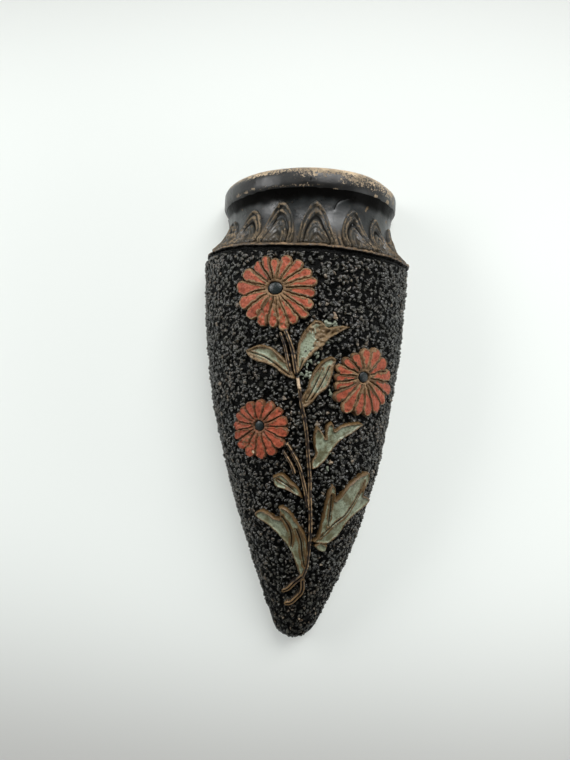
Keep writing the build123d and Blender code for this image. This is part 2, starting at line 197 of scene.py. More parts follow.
def closeUp(mesh):  # points that meet become one, and every face looks outward
    bm = bmesh.new()
    bm.from_mesh(mesh)
    bmesh.ops.remove_doubles(bm, verts=bm.verts[:], dist=1e-7)
    bmesh.ops.recalc_face_normals(bm, faces=bm.faces[:])
    bm.to_mesh(mesh)
    bm.free()


def placed(name, data):
    holder = bpy.data.objects.new(name, data)
    bpy.context.scene.collection.objects.link(holder)
    return holder


def nodeName(name):  # rolledRim stands for rolled_rim
    return "".join("_" + letter.lower() if letter.isupper() else letter for letter in name)


def makePiece(name, mesh, slotName, node=None, sharp=None):
    closeUp(mesh)
    piece = placed(name, mesh)
    mesh.materials.append(glazes[slotName])
    mesh.shade_smooth()
    if sharp:
        mesh.set_sharp_from_angle(angle=math.radians(sharp))
    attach(piece, "root")
    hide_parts(node or nodeName(name))


def addGrid(bm, low, high, cells, level=0):  # a flat sheet from corner low to corner high
    low, high = np.array(low), np.array(high)
    verts = bmesh.ops.create_grid(bm, x_segments=cells[0], y_segments=cells[1], size=0.5)["verts"]
    bmesh.ops.scale(bm, vec=(*(high - low), 1), verts=verts)
    bmesh.ops.translate(bm, vec=(*(low + high) / 2, level), verts=verts)
    return verts


def thicken(bm, depth):  # a flat sheet becomes a closed slab, its underside that much lower
    made = bmesh.ops.extrude_face_region(bm, geom=bm.faces[:])
    lower = [item for item in made["geom"] if isinstance(item, bmesh.types.BMVert)]
    bmesh.ops.translate(bm, verts=lower, vec=(0, 0, -depth))
    bmesh.ops.recalc_face_normals(bm, faces=bm.faces[:])


def loop(bm, points):  # a closed line of edges
    verts = [bm.verts.new(point) for point in points]
    return verts, [bm.edges.new(ends) for ends in zip(verts, verts[1:] + verts[:1])]


# A pad is laid on the surface by where, and shape gives each of its points a lift and a tone
def pad(name, outline, spacing, shape, slotName, node=None, where=onWall, under=-1.5):
    outline = np.array(outline, float)
    low, high = outline.min(axis=0) - spacing, outline.max(axis=0) + spacing
    bm = bmesh.new()
    addGrid(bm, low, high, [math.ceil(side / spacing) for side in high - low])
    places = np.array([vert.co[:2] for vert in bm.verts])
    gap, foot, _ = nearLine(places, outline, closed=True)
    gap = np.where(inside(places, outline), gap, -gap)
    verts = bm.verts[:]
    for number in np.nonzero(gap < 0.35 * spacing)[0]:
        verts[number].co.xy = foot[number]
    outside = [verts[number] for number in np.nonzero(gap < -0.5 * spacing)[0]]
    bmesh.ops.delete(bm, geom=outside, context="VERTS")
    for _ in range(4):  # no corner where two patches only touch
        pinched = [vert for vert in bm.verts if sum(edge.is_boundary for edge in vert.link_edges) > 2]
        loose = [vert for vert in bm.verts if not vert.link_faces]
        bmesh.ops.delete(bm, geom=pinched + loose, context="VERTS")
    thicken(bm, 1)
    mesh = toMesh(bm, name)
    across, up, side = readPlaces(mesh).T
    gap, _, _ = nearLine(columns(across, up), outline, closed=True)
    lift, tone = shape(across, up, gap)
    writePlaces(mesh, where(across, up, np.where(side < -0.5, under, lift)))
    writeTone(mesh, tone)
    makePiece(name, mesh, slotName, node, sharp=55)


# Materials

class Value:  # a node's output that takes part in plain sums
    def __init__(self, tree, socket):
        self.tree = tree
        self.socket = socket

    def work(self, operation, other):
        node = self.tree.nodes.new("ShaderNodeMath")
        node.operation = operation
        plug(node.inputs[0], self)
        plug(node.inputs[1], other)
        return Value(self.tree, node.outputs[0])

    def __add__(self, other):
        return self.work("ADD", other)

    def __sub__(self, other):
        return self.work("SUBTRACT", other)

    def __mul__(self, other):
        return self.work("MULTIPLY", other)


def plug(socket, value):
    if isinstance(value, Value):
        value.tree.links.new(value.socket, socket)
    else:
        socket.default_value = (*value, 1) if isinstance(value, tuple) else value


def output(tree, kind, name):  # one output of a new node
    return Value(tree, tree.nodes.new(kind).outputs[name])


def axes(tree, kind):  # x, y and z of the object's or the room's own places
    split = tree.nodes.new("ShaderNodeSeparateXYZ")
    plug(split.inputs["Vector"], output(tree, "ShaderNodeTexCoord", kind))
    return [Value(tree, socket) for socket in split.outputs]


def newMaterial(name):
    material = bpy.data.materials.new(name)
    material.use_nodes = True
    return material, material.node_tree, material.node_tree.nodes["Principled BSDF"]


def mixed(share, first, second):
    node = share.tree.nodes.new("ShaderNodeMix")
    node.data_type = "RGBA"
    plug(node.inputs["Factor"], share)
    plug(node.inputs["A"], first)
    plug(node.inputs["B"], second)
    return Value(share.tree, node.outputs["Result"])


def ranged(value, low, high, start=0.0, end=1.0):
    node = value.tree.nodes.new("ShaderNodeMapRange")
    node.interpolation_type = "SMOOTHSTEP"
    for socket, number in zip(node.inputs[:5], (value, low, high, start, end)):
        plug(socket, number)
    return Value(value.tree, node.outputs["Result"])


def speckle(tree, size, detail, rough=0.6):  # noise with blotches of about size millimetres
    where = tree.nodes.get("where") or tree.nodes.new("ShaderNodeTexCoord")
    where.name = "where"
    node = tree.nodes.new("ShaderNodeTexNoise")
    for name, value in (("Scale", 1000 / size), ("Detail", detail), ("Roughness", rough),
                        ("Vector", Value(tree, where.outputs["Object"]))):
        plug(node.inputs[name], value)
    return Value(tree, node.outputs["Fac"])


def toneOf(tree):
    node = tree.nodes.new("ShaderNodeAttribute")
    node.attribute_name = "tone"
    split = tree.nodes.new("ShaderNodeSeparateColor")
    plug(split.inputs["Color"], Value(tree, node.outputs["Color"]))
    return [Value(tree, socket) for socket in (*split.outputs, node.outputs["Alpha"])]


def dress(shader, colour, gloss, rough, height, distance, strength=1.0):  # what every glaze has
    bump = height.tree.nodes.new("ShaderNodeBump")
    plug(bump.inputs["Distance"], distance * 0.001)
    plug(bump.inputs["Strength"], strength)
    plug(bump.inputs["Height"], height)
    for name, value in (("Base Color", colour), ("Specular IOR Level", gloss), ("Roughness", rough),
                        ("Normal", Value(height.tree, bump.outputs["Normal"]))):
        plug(shader.inputs[name], value)


def dimmed(colour, share):
    return tuple(share * part for part in colour)


# Colours are linear
groundColours = {
    "black": (0.005, 0.0056, 0.0052), "grey": (0.048, 0.048, 0.037), "gap": (0.0018, 0.0018, 0.0016),
    "warm": (0.095, 0.062, 0.033), "cream": (0.33, 0.27, 0.19), "clay": (0.17, 0.105, 0.055),
    "paleClay": (0.45, 0.35, 0.24), "sage": (0.15, 0.175, 0.125), "paleSage": (0.29, 0.33, 0.245)}


def groundGlaze():
    material, tree, shader = newMaterial("pebbledBlackGlaze")
    paint = groundColours
    dome, tint, clay, sage = toneOf(tree)
    fine, wide, grit = speckle(tree, 0.9, 4), speckle(tree, 14, 2), speckle(tree, 1.7, 2)
    # the valleys between beads are near black, partly black glaze pooled there and partly painted shade
    colour = mixed(ranged(dome, 0.1, 0.6), paint["gap"], mixed(tint, paint["black"], paint["grey"]))
    warm = ranged(wide, 0.38, 0.62) * ranged(fine, 0.48, 0.62) * ranged(dome, 0.4, 0.8)  # rusty specks
    colour = mixed(warm * 0.85, colour, paint["warm"])
    cream = ranged(grit, 0.69, 0.75) * ranged(dome, 0.6, 0.95)  # pale grit
    colour = mixed(cream * 0.8, colour, paint["cream"])
    worn = clay * ranged(dome + fine, 0.75, 1.2)
    colour = mixed(worn, colour, mixed(ranged(grit, 0.35, 0.65), paint["clay"], paint["paleClay"]))
    green = sage * ranged(dome + fine, 0.62, 1.0)
    colour = mixed(green, colour, mixed(fine, paint["sage"], paint["paleSage"]))
    rough = ranged(fine, 0.3, 0.7, 0.14, 0.32) + worn * 0.35
    # the gloss falls in the valleys as well: painted shade on the reflections
    dress(shader, colour, ranged(dome, 0.25, 0.8, 0.05, 0.85), rough, speckle(tree, 0.55, 4), 0.3)
    return material


sprigColours = {  # the face, its darker patches, the raised edge, the edge's other colour, and the valley, which is glaze pooled in the grooves and painted shade
    "redSlip": ((0.46, 0.11, 0.054), (0.31, 0.068, 0.033), (0.255, 0.155, 0.078), (0.12, 0.068, 0.031),
                (0.042, 0.024, 0.012)),
    "sageGlaze": ((0.35, 0.41, 0.30), (0.13, 0.125, 0.065), (0.27, 0.19, 0.105), (0.115, 0.066, 0.022),
                  (0.022, 0.012, 0.006)),
    "brownStemGlaze": ((0.03, 0.018, 0.01), (0.008, 0.005, 0.004), (0.33, 0.22, 0.115), (0.17, 0.1, 0.036),
                       (0.003, 0.002, 0.002)),
    "slateEyeGlaze": ((0.022, 0.03, 0.03), (0.012, 0.017, 0.017), (0.02, 0.017, 0.014), (0.012, 0.01, 0.008),
                      (0.003, 0.003, 0.003))}
bareClay = (0.68, 0.52, 0.36)


def sprigGlaze(name, rough, level=0.5, dirt=0.78):
    middle, shade, edge, amber, valley = sprigColours[name]
    material, tree, shader = newMaterial(name)
    border, groove, wear, tint = toneOf(tree)
    fine, wide = speckle(tree, 0.7, 4), speckle(tree, 4, 3)
    colour = mixed(ranged(wide, 0.38, 0.64), middle, shade)
    colour = mixed(tint * 0.52, colour, shade)
    colour = mixed(ranged(fine, 0.5, 0.63) * dirt, colour, dimmed(shade, 0.5))
    edges = mixed(ranged(tint + (fine - 0.5), 0.3, 0.7), edge, amber)
    edges = mixed(ranged(fine, 0.54, 0.66), edges, dimmed(amber, 0.35))
    colour = mixed(ranged(border + fine * 0.5, 0.58, 0.9), colour, edges)
    rubbed = ranged(wear + (fine - 0.5) * 1.6, 0.46, 0.62)
    colour = mixed(rubbed, colour, mixed(wide, edge, amber))
    # the valley colour in the grooves is partly glaze pooled there and partly painted shade, and the gloss
    # falls there too
    colour = mixed(ranged(groove + fine * 0.3, 0.45, 1.0), colour, valley)
    colour = mixed(ranged(wear, 0.86, 0.95), colour, bareClay)
    gloss, dull = ranged(groove, 0.3, 0.9, level, 0.05), ranged(fine, 0.3, 0.7, rough, rough + 0.2)
    dress(shader, colour, gloss, dull, speckle(tree, 0.55, 3), 0.12, 0.8)
    return material


collarColours = {  # the black glaze and the clay that shows where it is rubbed off
    "archGlaze": ((0.015, 0.0148, 0.012), (0.205, 0.15, 0.088)),
    "collarGlaze": ((0.011, 0.0128, 0.0128), (0.24, 0.165, 0.09)),
    "rimGlaze": ((0.010, 0.010, 0.0095), (0.56, 0.43, 0.28)),
    "beadGlaze": ((0.014, 0.01, 0.007), (0.23, 0.15, 0.08)),
    "backClay": ((0.02, 0.017, 0.014), (0.20, 0.14, 0.085))}
warmSpeckle = (0.075, 0.052, 0.03)
deepShade = (0.003, 0.0028, 0.0025)


def collarGlaze(name, rough, blotch=0.5, grainSize=1.35):
    black, clay = collarColours[name]
    material, tree, shader = newMaterial(name)
    worn, groove, streak, _ = toneOf(tree)
    fine, wide = speckle(tree, grainSize, 6, 0.72), speckle(tree, 7, 3)
    colour = mixed(ranged(wide, 0.35, 0.7), black, tuple(1.8 * part + 0.003 for part in black))
    colour = mixed(ranged(fine, 0.55, 0.68) * 0.4, colour, warmSpeckle)
    colour = mixed(streak, colour, dimmed(clay, 0.42))
    rubbed = ranged(worn + (fine - 0.5) * 2.4, 0.47, 0.6)
    colour = mixed(rubbed, colour, mixed(ranged(wide, 0.36, 0.62), clay, dimmed(clay, blotch)))
    # the second tone is painted shade: it turns the colour to deepShade and takes the gloss away
    colour = mixed(ranged(groove, 0.2, 0.9), colour, deepShade)
    gloss = ranged(groove, 0.1, 0.8, 0.5, 0.03)
    dull = ranged(wide, 0.3, 0.7, rough, rough + 0.14) + rubbed * 0.4
    dress(shader, colour, gloss, dull, speckle(tree, 1.0, 4) + rubbed * -0.35, 0.14, 0.7)
    return material


glazes = {
    "black_glaze": groundGlaze(),
    "red_glaze": sprigGlaze("redSlip", 0.44, 0.32),
    "sage_glaze": sprigGlaze("sageGlaze", 0.36, 0.45, 0.6),
    "brown_glaze": sprigGlaze("brownStemGlaze", 0.32),
    "eye_glaze": sprigGlaze("slateEyeGlaze", 0.22),
    "arch_glaze": collarGlaze("archGlaze", 0.26),
    "collar_glaze": collarGlaze("collarGlaze", 0.26),
    "rim_glaze": collarGlaze("rimGlaze", 0.27, grainSize=0.95),
    "bead_glaze": collarGlaze("beadGlaze", 0.36),
    "back_clay": collarGlaze("backClay", 0.42, 0.8)}
print("materials made:", len(bpy.data.materials))

# The pebbled wall: rows of small clay beads under black glaze, and the places of its sage and tan ones

pebbles = {
    "pitch": 1.85, "rowPitch": 1.62, "jitter": 0.4, "rise": 1.05, "sink": 0.7, "spacing": 0.26, "warp": 0.9,
    "lump": 0.38, "facet": 0.24, "innerSteps": 5, "ledgeGap": 1.3, "noseRadius": 19,
    "slim": [(0, -0.3), (10, -0.55), (50, -0.42), (80, -0.2), (120, 0.05), (170, 0.2)],
    "bands": ((0, 38), (37.7, 78), (77.7, 122), (121.7, wallLength)),
    "sage": [(1.7, 121, 3.6, 4.2), (4.6, 125.5, 2.2, 2.6), (7, 135, 3.2, 3.6), (10, 139, 2.2, 2.0),
             (9.5, 88, 2.0, 2.0), (10.5, 83, 1.6, 2.2), (11.5, 113, 1.6, 3.0)],
    "tan": [(-25.5, 132, 0.9, 0.9), (-30, 113.5, 0.9, 0.9), (-16, 68.5, 0.9, 0.9), (-17, 71.5, 0.9, 0.9),
            (-14.3, 39.3, 0.9, 0.9), (7.5, 129.5, 1.6, 1.3), (12, 143, 1.2, 1.2), (9.6, 137, 1.6, 1.2),
            (2.5, 12, 1.2, 0.9), (12, 85.5, 1.2, 0.9)]}


def scatterSeeds():  # each bead's bearing and place down the wall, and four chances of its own
    chance = np.random.default_rng(vase["seed"])
    seeds = []
    for row in range(int(wallLength / pebbles["rowPitch"]) + 1):
        down = (row + 0.5) * pebbles["rowPitch"]
        radius = flank(down)[1]
        if down > flankLength:
            radius = vase["tipRadius"] * math.cos(flankTurn + (down - flankLength) / vase["tipRadius"])
        count = max(int(math.pi * radius / pebbles["pitch"]), 1)
        shift = 0.5 + 0.5 * (row % 2)
        bearings = (np.arange(count) + shift + chance.normal(0, pebbles["jitter"], count)) / count
        for bearing, nudge in zip(bearings, chance.normal(0, pebbles["jitter"], count)):
            seeds.append((math.pi * (bearing - 0.5), down + nudge * pebbles["rowPitch"]))
    return np.array(seeds), chance.random((len(seeds), 4))


def ledgeWave(bearing, height):  # the ledge wanders a little up and down along its front
    wave = 1.6 * hump(bearing, 1.52, 0.28) - 0.4 * hump(bearing, 0.62, 0.25)
    wave -= 0.85 * hump(bearing, -0.15, 0.5)
    return (wave + 0.12 * np.sin(9 * bearing + 1)) * fade(height, 171.5, 178)


def bandSheets(number, start, end):  # a fine outside and a coarse inside, joined round their rims
    radius = pebbles["noseRadius"] if end == wallLength else flank((start + end) / 2)[1]
    columnCount = round(math.pi * radius / pebbles["spacing"])
    rowCount = round((end - start) / pebbles["spacing"])
    corners = (-math.pi / 2, end), (math.pi / 2, start)
    bm = bmesh.new()
    addGrid(bm, *corners, (columnCount, rowCount))
    rims = [edge for edge in bm.edges if edge.is_boundary]
    steps = pebbles["innerSteps"]
    inner = set(addGrid(bm, *corners, (columnCount // steps, rowCount // steps), level=-1))
    rims += [edge for edge in bm.edges if edge.is_boundary and edge.verts[0] in inner]
    bmesh.ops.bridge_loops(bm, edges=rims)
    bmesh.ops.recalc_face_normals(bm, faces=bm.faces[:])
    return toMesh(bm, f"pebbledWall{number + 1}")


def wallBand(number, start, end, seeds, chances, tree):
    mesh = bandSheets(number, start, end)
    bearing, down, level = readPlaces(mesh).T
    under = level < -0.5
    round3d = alongWall(bearing, down, 0) * 1000
    first, second, owner = np.zeros(len(down)), np.zeros(len(down)), np.zeros(len(down), int)
    for index in np.nonzero(~under)[0]:  # the two beads that are nearest to a slightly warped place
        place = Vector(round3d[index])
        near = tree.find_n(place + pebbles["warp"] * noise.noise_vector(place / 1.7), 2)
        owner[index], first[index], second[index] = near[0][1], near[0][2], near[1][2]
    wide, tall, odd, fused = chances[owner].T
    size = 0.5 * pebbles["pitch"] * (0.64 + 0.62 * wide)
    dome = np.sqrt(np.clip(1 - (first / size) ** 2.5, 0, 1))
    merged = 0.3 + 0.45 * (fused > 0.55)  # how much a bead has melted into its neighbours
    dome *= ease(second - first, 0.0, 0.5) * (1 - merged) + merged
    clear = down + ledgeWave(bearing, vase["shoulder"])  # the dark line under the ledge
    dome *= ease(clear, 1.0, 1.7)
    lift = pebbles["rise"] * (0.42 + 0.58 * tall) * dome - pebbles["sink"]
    lift += pebbles["facet"] * roughly(round3d, 0.85, 91) * dome + pebbles["lump"] * roughly(round3d, 4.2, 90)
    lift += np.interp(flank(down)[2], *np.array(pebbles["slim"]).T)
    sunk = np.minimum(lift, -0.75 + 0.95 * ease(clear, 0.9, pebbles["ledgeGap"]))
    lift = np.where(clear < pebbles["ledgeGap"], sunk, lift)
    writePlaces(mesh, alongWall(bearing, down, np.where(under, -vase["wall"], lift)))
    _, radius, up = flank(seeds[owner, 1])
    across = seeds[owner, 0] * np.maximum(radius, 1)
    clay = np.where(odd > 0.985, 0.4, 0.0) + 0.3 * (odd > 0.85) * fade(up, 18, 34)  # more near the tip
    sage = np.zeros(len(down))
    for spots, mark in ((pebbles["tan"], clay), (pebbles["sage"], sage)):
        for s, z, a, b in spots:
            hit = ((across - s) / a) ** 2 + ((up - z) / b) ** 2 < 1
            mark[hit] = np.where(fused[hit] > 0.25, 1, mark[hit])
    clay = np.where((sage > 0) & (fused > 0.72), 1, clay)
    # the bead tone is scaled down towards the tip, which darkens the lower wall and dulls its gloss: painted
    # shade
    writeTone(mesh, columns(dome * (0.62 + 0.38 * ease(up, 12, 48)), tall, clay, sage))
    makePiece(mesh.name, mesh, "black_glaze", "front_shell")


def makeWall():
    seeds, chances = scatterSeeds()
    tree = kdtree.KDTree(len(seeds))
    for index, place in enumerate(alongWall(*seeds.T, 0) * 1000):
        tree.insert(place, index)
    tree.balance()
    for number, (start, end) in enumerate(pebbles["bands"]):
        wallBand(number, start, end, seeds, chances, tree)
    print("pebbled wall made, beads:", len(seeds))


makeWall()

# Flowers: the eye's place on the unrolled wall, and each petal's direction in degrees with its length

flowers = {
    "upperFlower": {
        "eye": (-12, 152.5), "eyeSize": (3.0, 2.4),
        "worn": [(-11.5, 146.0, 3.2, 0.66), (-8.5, 140, 4.0, 0.5), (-16, 141.5, 4.5, 0.48)], "petals": {
            11: 16.3, 25: 15.4, 46: 14.3, 67: 13.2, 94: 11.3, 112: 12.9, 129: 12.8, 158: 15.1, 174: 16.9,
            -7: 15.5, -26: 16.2, -41: 16.8, -58: 15.8, -76: 16.8, -91: 15.1, -110: 15.7, -136: 15.9,
            -157: 16.5}},
    "rightFlower": {
        "eye": (24.8, 119.4), "eyeSize": (2.4, 2.2), "worn": [(33, 121.5, 2.5, 0.4)], "petals": {
            3.6: 16.7, 29: 14.5, 60: 13.5, 87: 11.6, 120: 10.7, 145: 11.8, 165: 13.2, -177: 13.2,
            -161.6: 13.7, -145.7: 15.9, -119.6: 16.5, -98.6: 15.4, -79: 15.9, -58: 16.9, -35.5: 17, -16: 19}},
    "leftFlower": {
        "eye": (-17.3, 98.9), "eyeSize": (2.1, 2.1),
        "worn": [(-22.5, 92.5, 5.0, 0.52), (-27, 97, 3.6, 0.42), (-12, 106, 4.0, 0.38),
                 (-19.6, 88.2, 1.3, 1.0)],
        "dark": 0.6, "edge": 0.56, "petals": {
            13: 11.8, 37.6: 11.5, 60: 11, 90: 10.6, 121: 10.8, 143: 11.2, 160: 12.0, -177: 13.0, -157: 13.6,
            -137: 14.2, -111: 13.9, -85: 13.6, -61: 13.4, -37: 12.8, -13: 12.2}}}
petalLook = {
    "low": 0.8, "rise": 0.95, "rib": 0.3, "ribAt": 0.5, "ring": 0.6, "ringRise": 0.45, "spacing": 0.24,
    "turnSteps": 9, "cut": 0.45, "rough": 0.18, "border": 0.88, "broadest": 34, "ragged": 0.022}
eyeLook = {"low": 0.45, "rise": 0.95, "spacing": 0.2, "margin": 0.1, "steps": 40}


def petalPlan(flower):  # directions, lengths, half turns to both neighbours, and how blunt each tip is
    angles = np.array(sorted(flower["petals"]))
    lengths = np.array([flower["petals"][angle] for angle in angles])
    before = (angles - np.roll(angles, 1)) % 360 / 2
    after = (np.roll(angles, -1) - angles) % 360 / 2
    blunt = lengths * np.sin(np.radians(np.minimum(before + after, petalLook["broadest"]) / 2)) * 0.92
    return angles, lengths, before, after, blunt


def petalEdge(length, blunt, side):
    return length - blunt + blunt * arc(side)


def makeFlower(name, flower, seed):
    angles, lengths, before, after, blunt = petalPlan(flower)
    eye, eyeSize = np.array(flower["eye"]), np.array(flower["eyeSize"])
    outline = []
    for number, angle in enumerate(angles):
        for side in np.linspace(-0.97, 0.97, petalLook["turnSteps"]):
            turn = math.radians(angle + side * (before[number] if side < 0 else after[number]))
            reach = petalEdge(lengths[number], blunt[number], side)
            outline.append(eye + reach * np.array([math.cos(turn), math.sin(turn)]))
    ragged = 1 + petalLook["ragged"] * roughly(columns(*np.array(outline).T, 0), 1.8, seed)
    outline = eye + (np.array(outline) - eye) * ragged[:, None]
    chance = np.random.default_rng(seed)
    tints, cuts = chance.random(len(angles)), 0.25 + 0.75 * chance.random(len(angles))

    def shape(across, up, gap):  # each point belongs to the petal whose direction is nearest
        dx, dz = across - eye[0], up - eye[1]
        far = np.hypot(dx, dz)
        wander, small = grain(across, up, 5, 1.5, seed)
        turn = np.degrees(np.arctan2(dz, dx)) + (wander * 2.6 + small * 1.6) * np.clip(far / 8, 0.3, 1)
        offset = (turn[:, None] - angles[None, :] + 180) % 360 - 180
        share = np.where(offset < 0, -offset / before, offset / after)
        owner = share.argmin(axis=1)
        row = np.arange(len(owner))
        side = np.clip(share[row, owner], 0, 1)
        late = offset[row, owner] >= 0
        half = np.where(late, after[owner], before[owner])
        cut = cuts[(owner + late) % len(cuts)]
        lateral = (1 - side) * np.radians(half) * far
        edge = petalEdge(lengths[owner], blunt[owner], side) - far
        tip = np.maximum(blunt[owner] - edge, 0) / blunt[owner]
        ringFar = (np.hypot(dx / eyeSize[0], dz / eyeSize[1]) - 1) * eyeSize.mean()
        worn = wornSpots(across, up, flower["worn"], 0.45, 0.5 * small)
        crown = arc(side) * arc(tip) * ease(ringFar, 0.5, 2.6) * (1 - 0.5 * np.minimum(worn, 1))
        narrow = np.minimum(lateral, np.maximum(gap, 0) + 0.1)  # how far from the petal's border
        groove = fade(lateral, 0.05, 0.26) * ease(ringFar, 0.3, 1.6) * cut
        groove = np.maximum(groove, 0.75 * worn * ease(-small, 0.1, 0.5))
        rib = hump(narrow, petalLook["ribAt"], 0.25) * ease(ringFar, 0.3, 1.6)
        lift = petalLook["low"] + petalLook["rise"] * crown ** 0.75 * (1 + 0.15 * wander)
        lift += petalLook["rib"] * rib + petalLook["ringRise"] * hump(ringFar, petalLook["ring"], 0.42)
        lift += (petalLook["rough"] + 0.45 * worn) * small - petalLook["cut"] * groove
        lift -= 1.2 * fade(ringFar, -0.4, 0.2) + 0.45 * fade(gap, 0, 0.45)
        wide = petalLook["border"] + 0.3 * small + 0.16 * wander
        border = np.maximum(fade(narrow, wide - 0.3, wide + 0.25), hump(ringFar, 0.45, 0.5))
        # painted shade round and under the eye, where it sits in its ring
        groove = np.maximum(groove, 0.8 * fade(ringFar, -0.3, 0.05))
        dark = flower.get("dark", 0)
        tint = dark + (0.8 - 0.5 * dark) * tints[owner]
        return lift, columns(border * flower.get("edge", 1), groove, worn, tint)

    def dome(across, up, gap):
        far = np.hypot((across - eye[0]) / rimSize[0], (up - eye[1]) / rimSize[1])
        # the eye's outer edge takes the valley colour: painted shade round the eye
        return eyeLook["low"] + eyeLook["rise"] * arc(far), columns(0, ease(far, 0.72, 0.95), 0, 0.5)

    pad(name, outline, petalLook["spacing"], shape, "red_glaze")
    rimSize = eyeSize + eyeLook["margin"]
    rim = roundLine(eye, rimSize, 0, 2 * math.pi, eyeLook["steps"], closed=True)
    pad(name + "Eye", rim, eyeLook["spacing"], dome, "eye_glaze")


for seed, (name, flower) in enumerate(flowers.items()):
    makeFlower(name, flower, seed + 3)
print("flowers made:", len(flowers))

# Leaves: sharp corners start each side, read off the unrolled wall from the base on

leaves = {
    "upperLeftLeaf": {
        "tan": 1.35, "amber": 0.2, "sides": [
            [(-2.8, 117.6), (-4.5, 120.9), (-7, 124.7), (-10.3, 128), (-14.1, 130.3), (-18.25, 130.9),
             (-22, 129.7)],
            [(-24.5, 128.8), (-22.8, 126.3), (-19.9, 124.5), (-16.2, 123.6), (-12, 122.2), (-8.7, 119.7),
             (-5.3, 118)]],
        "veins": [[(-22, 128), (-18.3, 127), (-14.9, 125.7), (-11.2, 123.4), (-7.8, 120.9), (-5, 119)]]},
    "upperRightLeaf": {
        "tan": 1.2, "amber": 0.15, "worn": [
            (7.5, 135.0, 5.6, 0.82), (12, 137.2, 4.4, 0.78), (2.8, 137.4, 2.6, 0.6), (5.4, 131.0, 3.4, 0.7),
            (2.6, 127.2, 2.0, 0.6)], "sides": [
            [(-2.8, 118.8), (-2.9, 124), (-2.8, 130.5), (-1.2, 135.1), (1.3, 138.4)],
            [(3.4, 140.7), (6.3, 140.2), (8.5, 138.0), (12, 138.6), (15, 139.0)],
            [(18, 138.6), (13.8, 136.3), (9.7, 133.8), (6.75, 130.5), (3.8, 128), (0.9, 124.7),
             (-1.6, 120.9)]],
        "veins": [[(-1.8, 121.5), (-0.5, 125.5)]]},
    "middleRightLeaf": {
        "tan": 1.25, "amber": 0.25, "sides": [
            [(-0.8, 106.7), (-1.25, 110), (1.25, 114.2), (2.1, 117.5), (3.3, 120.4), (5.4, 123.75),
             (7.9, 126)],
            [(10.4, 127.1), (12.5, 125.8), (11.7, 122.5), (10.8, 118.3), (9.2, 114.6), (5.8, 111.7),
             (3.3, 108.3), (0.8, 106.7)]],
        "veins": [[(1.2, 109.5), (3.6, 114), (5.4, 118), (7.2, 122)],
                  [(3, 110), (6.2, 115), (8.4, 119.5), (9.8, 123)]]},
    "sideRightLeaf": {
        "tan": 0.8, "amber": 0.25, "sides": [
            [(4, 82), (4, 85.4), (5.4, 88.3), (4.6, 92), (4.4, 95.8)],
            [(5.4, 100), (7.1, 98.3), (8.6, 96)], [(9.2, 95), (9.4, 99.4)], [(11.4, 101.7), (12.6, 100)],
            [(12.9, 98.3), (15.8, 100), (20, 101), (24.2, 101.25)],
            [(26.7, 100.2), (23.3, 98.3), (20, 96.25), (16.7, 94.6), (14.2, 92.5), (11.7, 89.2), (9.6, 85.8),
             (6.7, 82.9)]],
        "veins": []},
    "lowerLeftSmallLeaf": {
        "tan": 0.75, "amber": 0.45, "sides": [
            [(1.4, 69.5), (-0.7, 74.1), (-4, 77), (-6.9, 79.5), (-9, 79.7)],
            [(-11.5, 78.5), (-10.25, 74.5), (-6.5, 73.25), (-3.2, 72), (-0.7, 70.75)]],
        "veins": [[(-9, 77.2), (-5, 75), (-1.2, 72)]]},
    "lowerLeftLargeLeaf": {
        "tan": 0.75, "amber": 0.75, "vein": 1.6, "sides": [
            [(2.4, 35.25), (3.4, 39), (3.9, 46), (3.1, 52.75), (0.9, 57.1), (-3.5, 63.7), (-6.6, 65.9)],
            [(-8.8, 65.6), (-8.0, 63)], [(-8.2, 60.6), (-10.4, 60.9), (-12.9, 62.4), (-16.6, 63.4)],
            [(-20.4, 61.2), (-17.9, 59.3), (-13.5, 57.4), (-9.75, 54.6), (-6.6, 51.5), (-4.1, 48.4),
             (-2.6, 45.25), (-1, 40.9), (0.9, 35.9)]],
        "veins": [[(-7.2, 62), (-4, 57), (-2.9, 52.75), (-3.1, 48.4)],
                  [(-1, 56.5), (0.9, 51.5), (1.5, 46.5), (2.7, 40)]]},
    "lowerRightLargeLeaf": {
        "tan": 0.8, "amber": 0.6, "vein": 1.4, "sides": [
            [(5.25, 51.2), (7.1, 52.75), (8.4, 57.1), (9.6, 63.4), (10.6, 69), (11.5, 72.75)],
            [(13.1, 75.9), (14.6, 73.7)],
            [(14.9, 69), (17.75, 72.1), (20.25, 74.9), (23.4, 77.1), (26.5, 78.7), (30.25, 79.9)],
            [(33, 79.6), (32.75, 75.9), (30.25, 72.1)], [(30.0, 69.5), (34, 68.2)],
            [(38, 66.8), (34, 64.6), (29.6, 63.4), (24, 60.9), (20.25, 57.75), (17.1, 53.4), (12.75, 50.25),
             (9, 50)]],
        "veins": [[(9, 53), (14, 58), (20, 62), (25, 68), (30, 76)], [(12.75, 71.5), (12.6, 64), (12, 58)]]},
    "lowerRightSmallLeaf": {
        "tan": 0.6, "amber": 0.8, "sides": [
            [(6.2, 49.3), (8.8, 50.7)], [(12.3, 49.2), (11.2, 46.4), (8.2, 47.0)]],
        "veins": []}}
leafLook = {
    "blade": 0.6, "border": 0.7, "borderAt": 0.62, "borderWidth": 0.42, "tan": 1.05, "veinDip": 0.4,
    "veinWidth": 0.36, "bankAt": 0.72, "bank": 0.3, "bankWidth": 0.45, "spacing": 0.25}


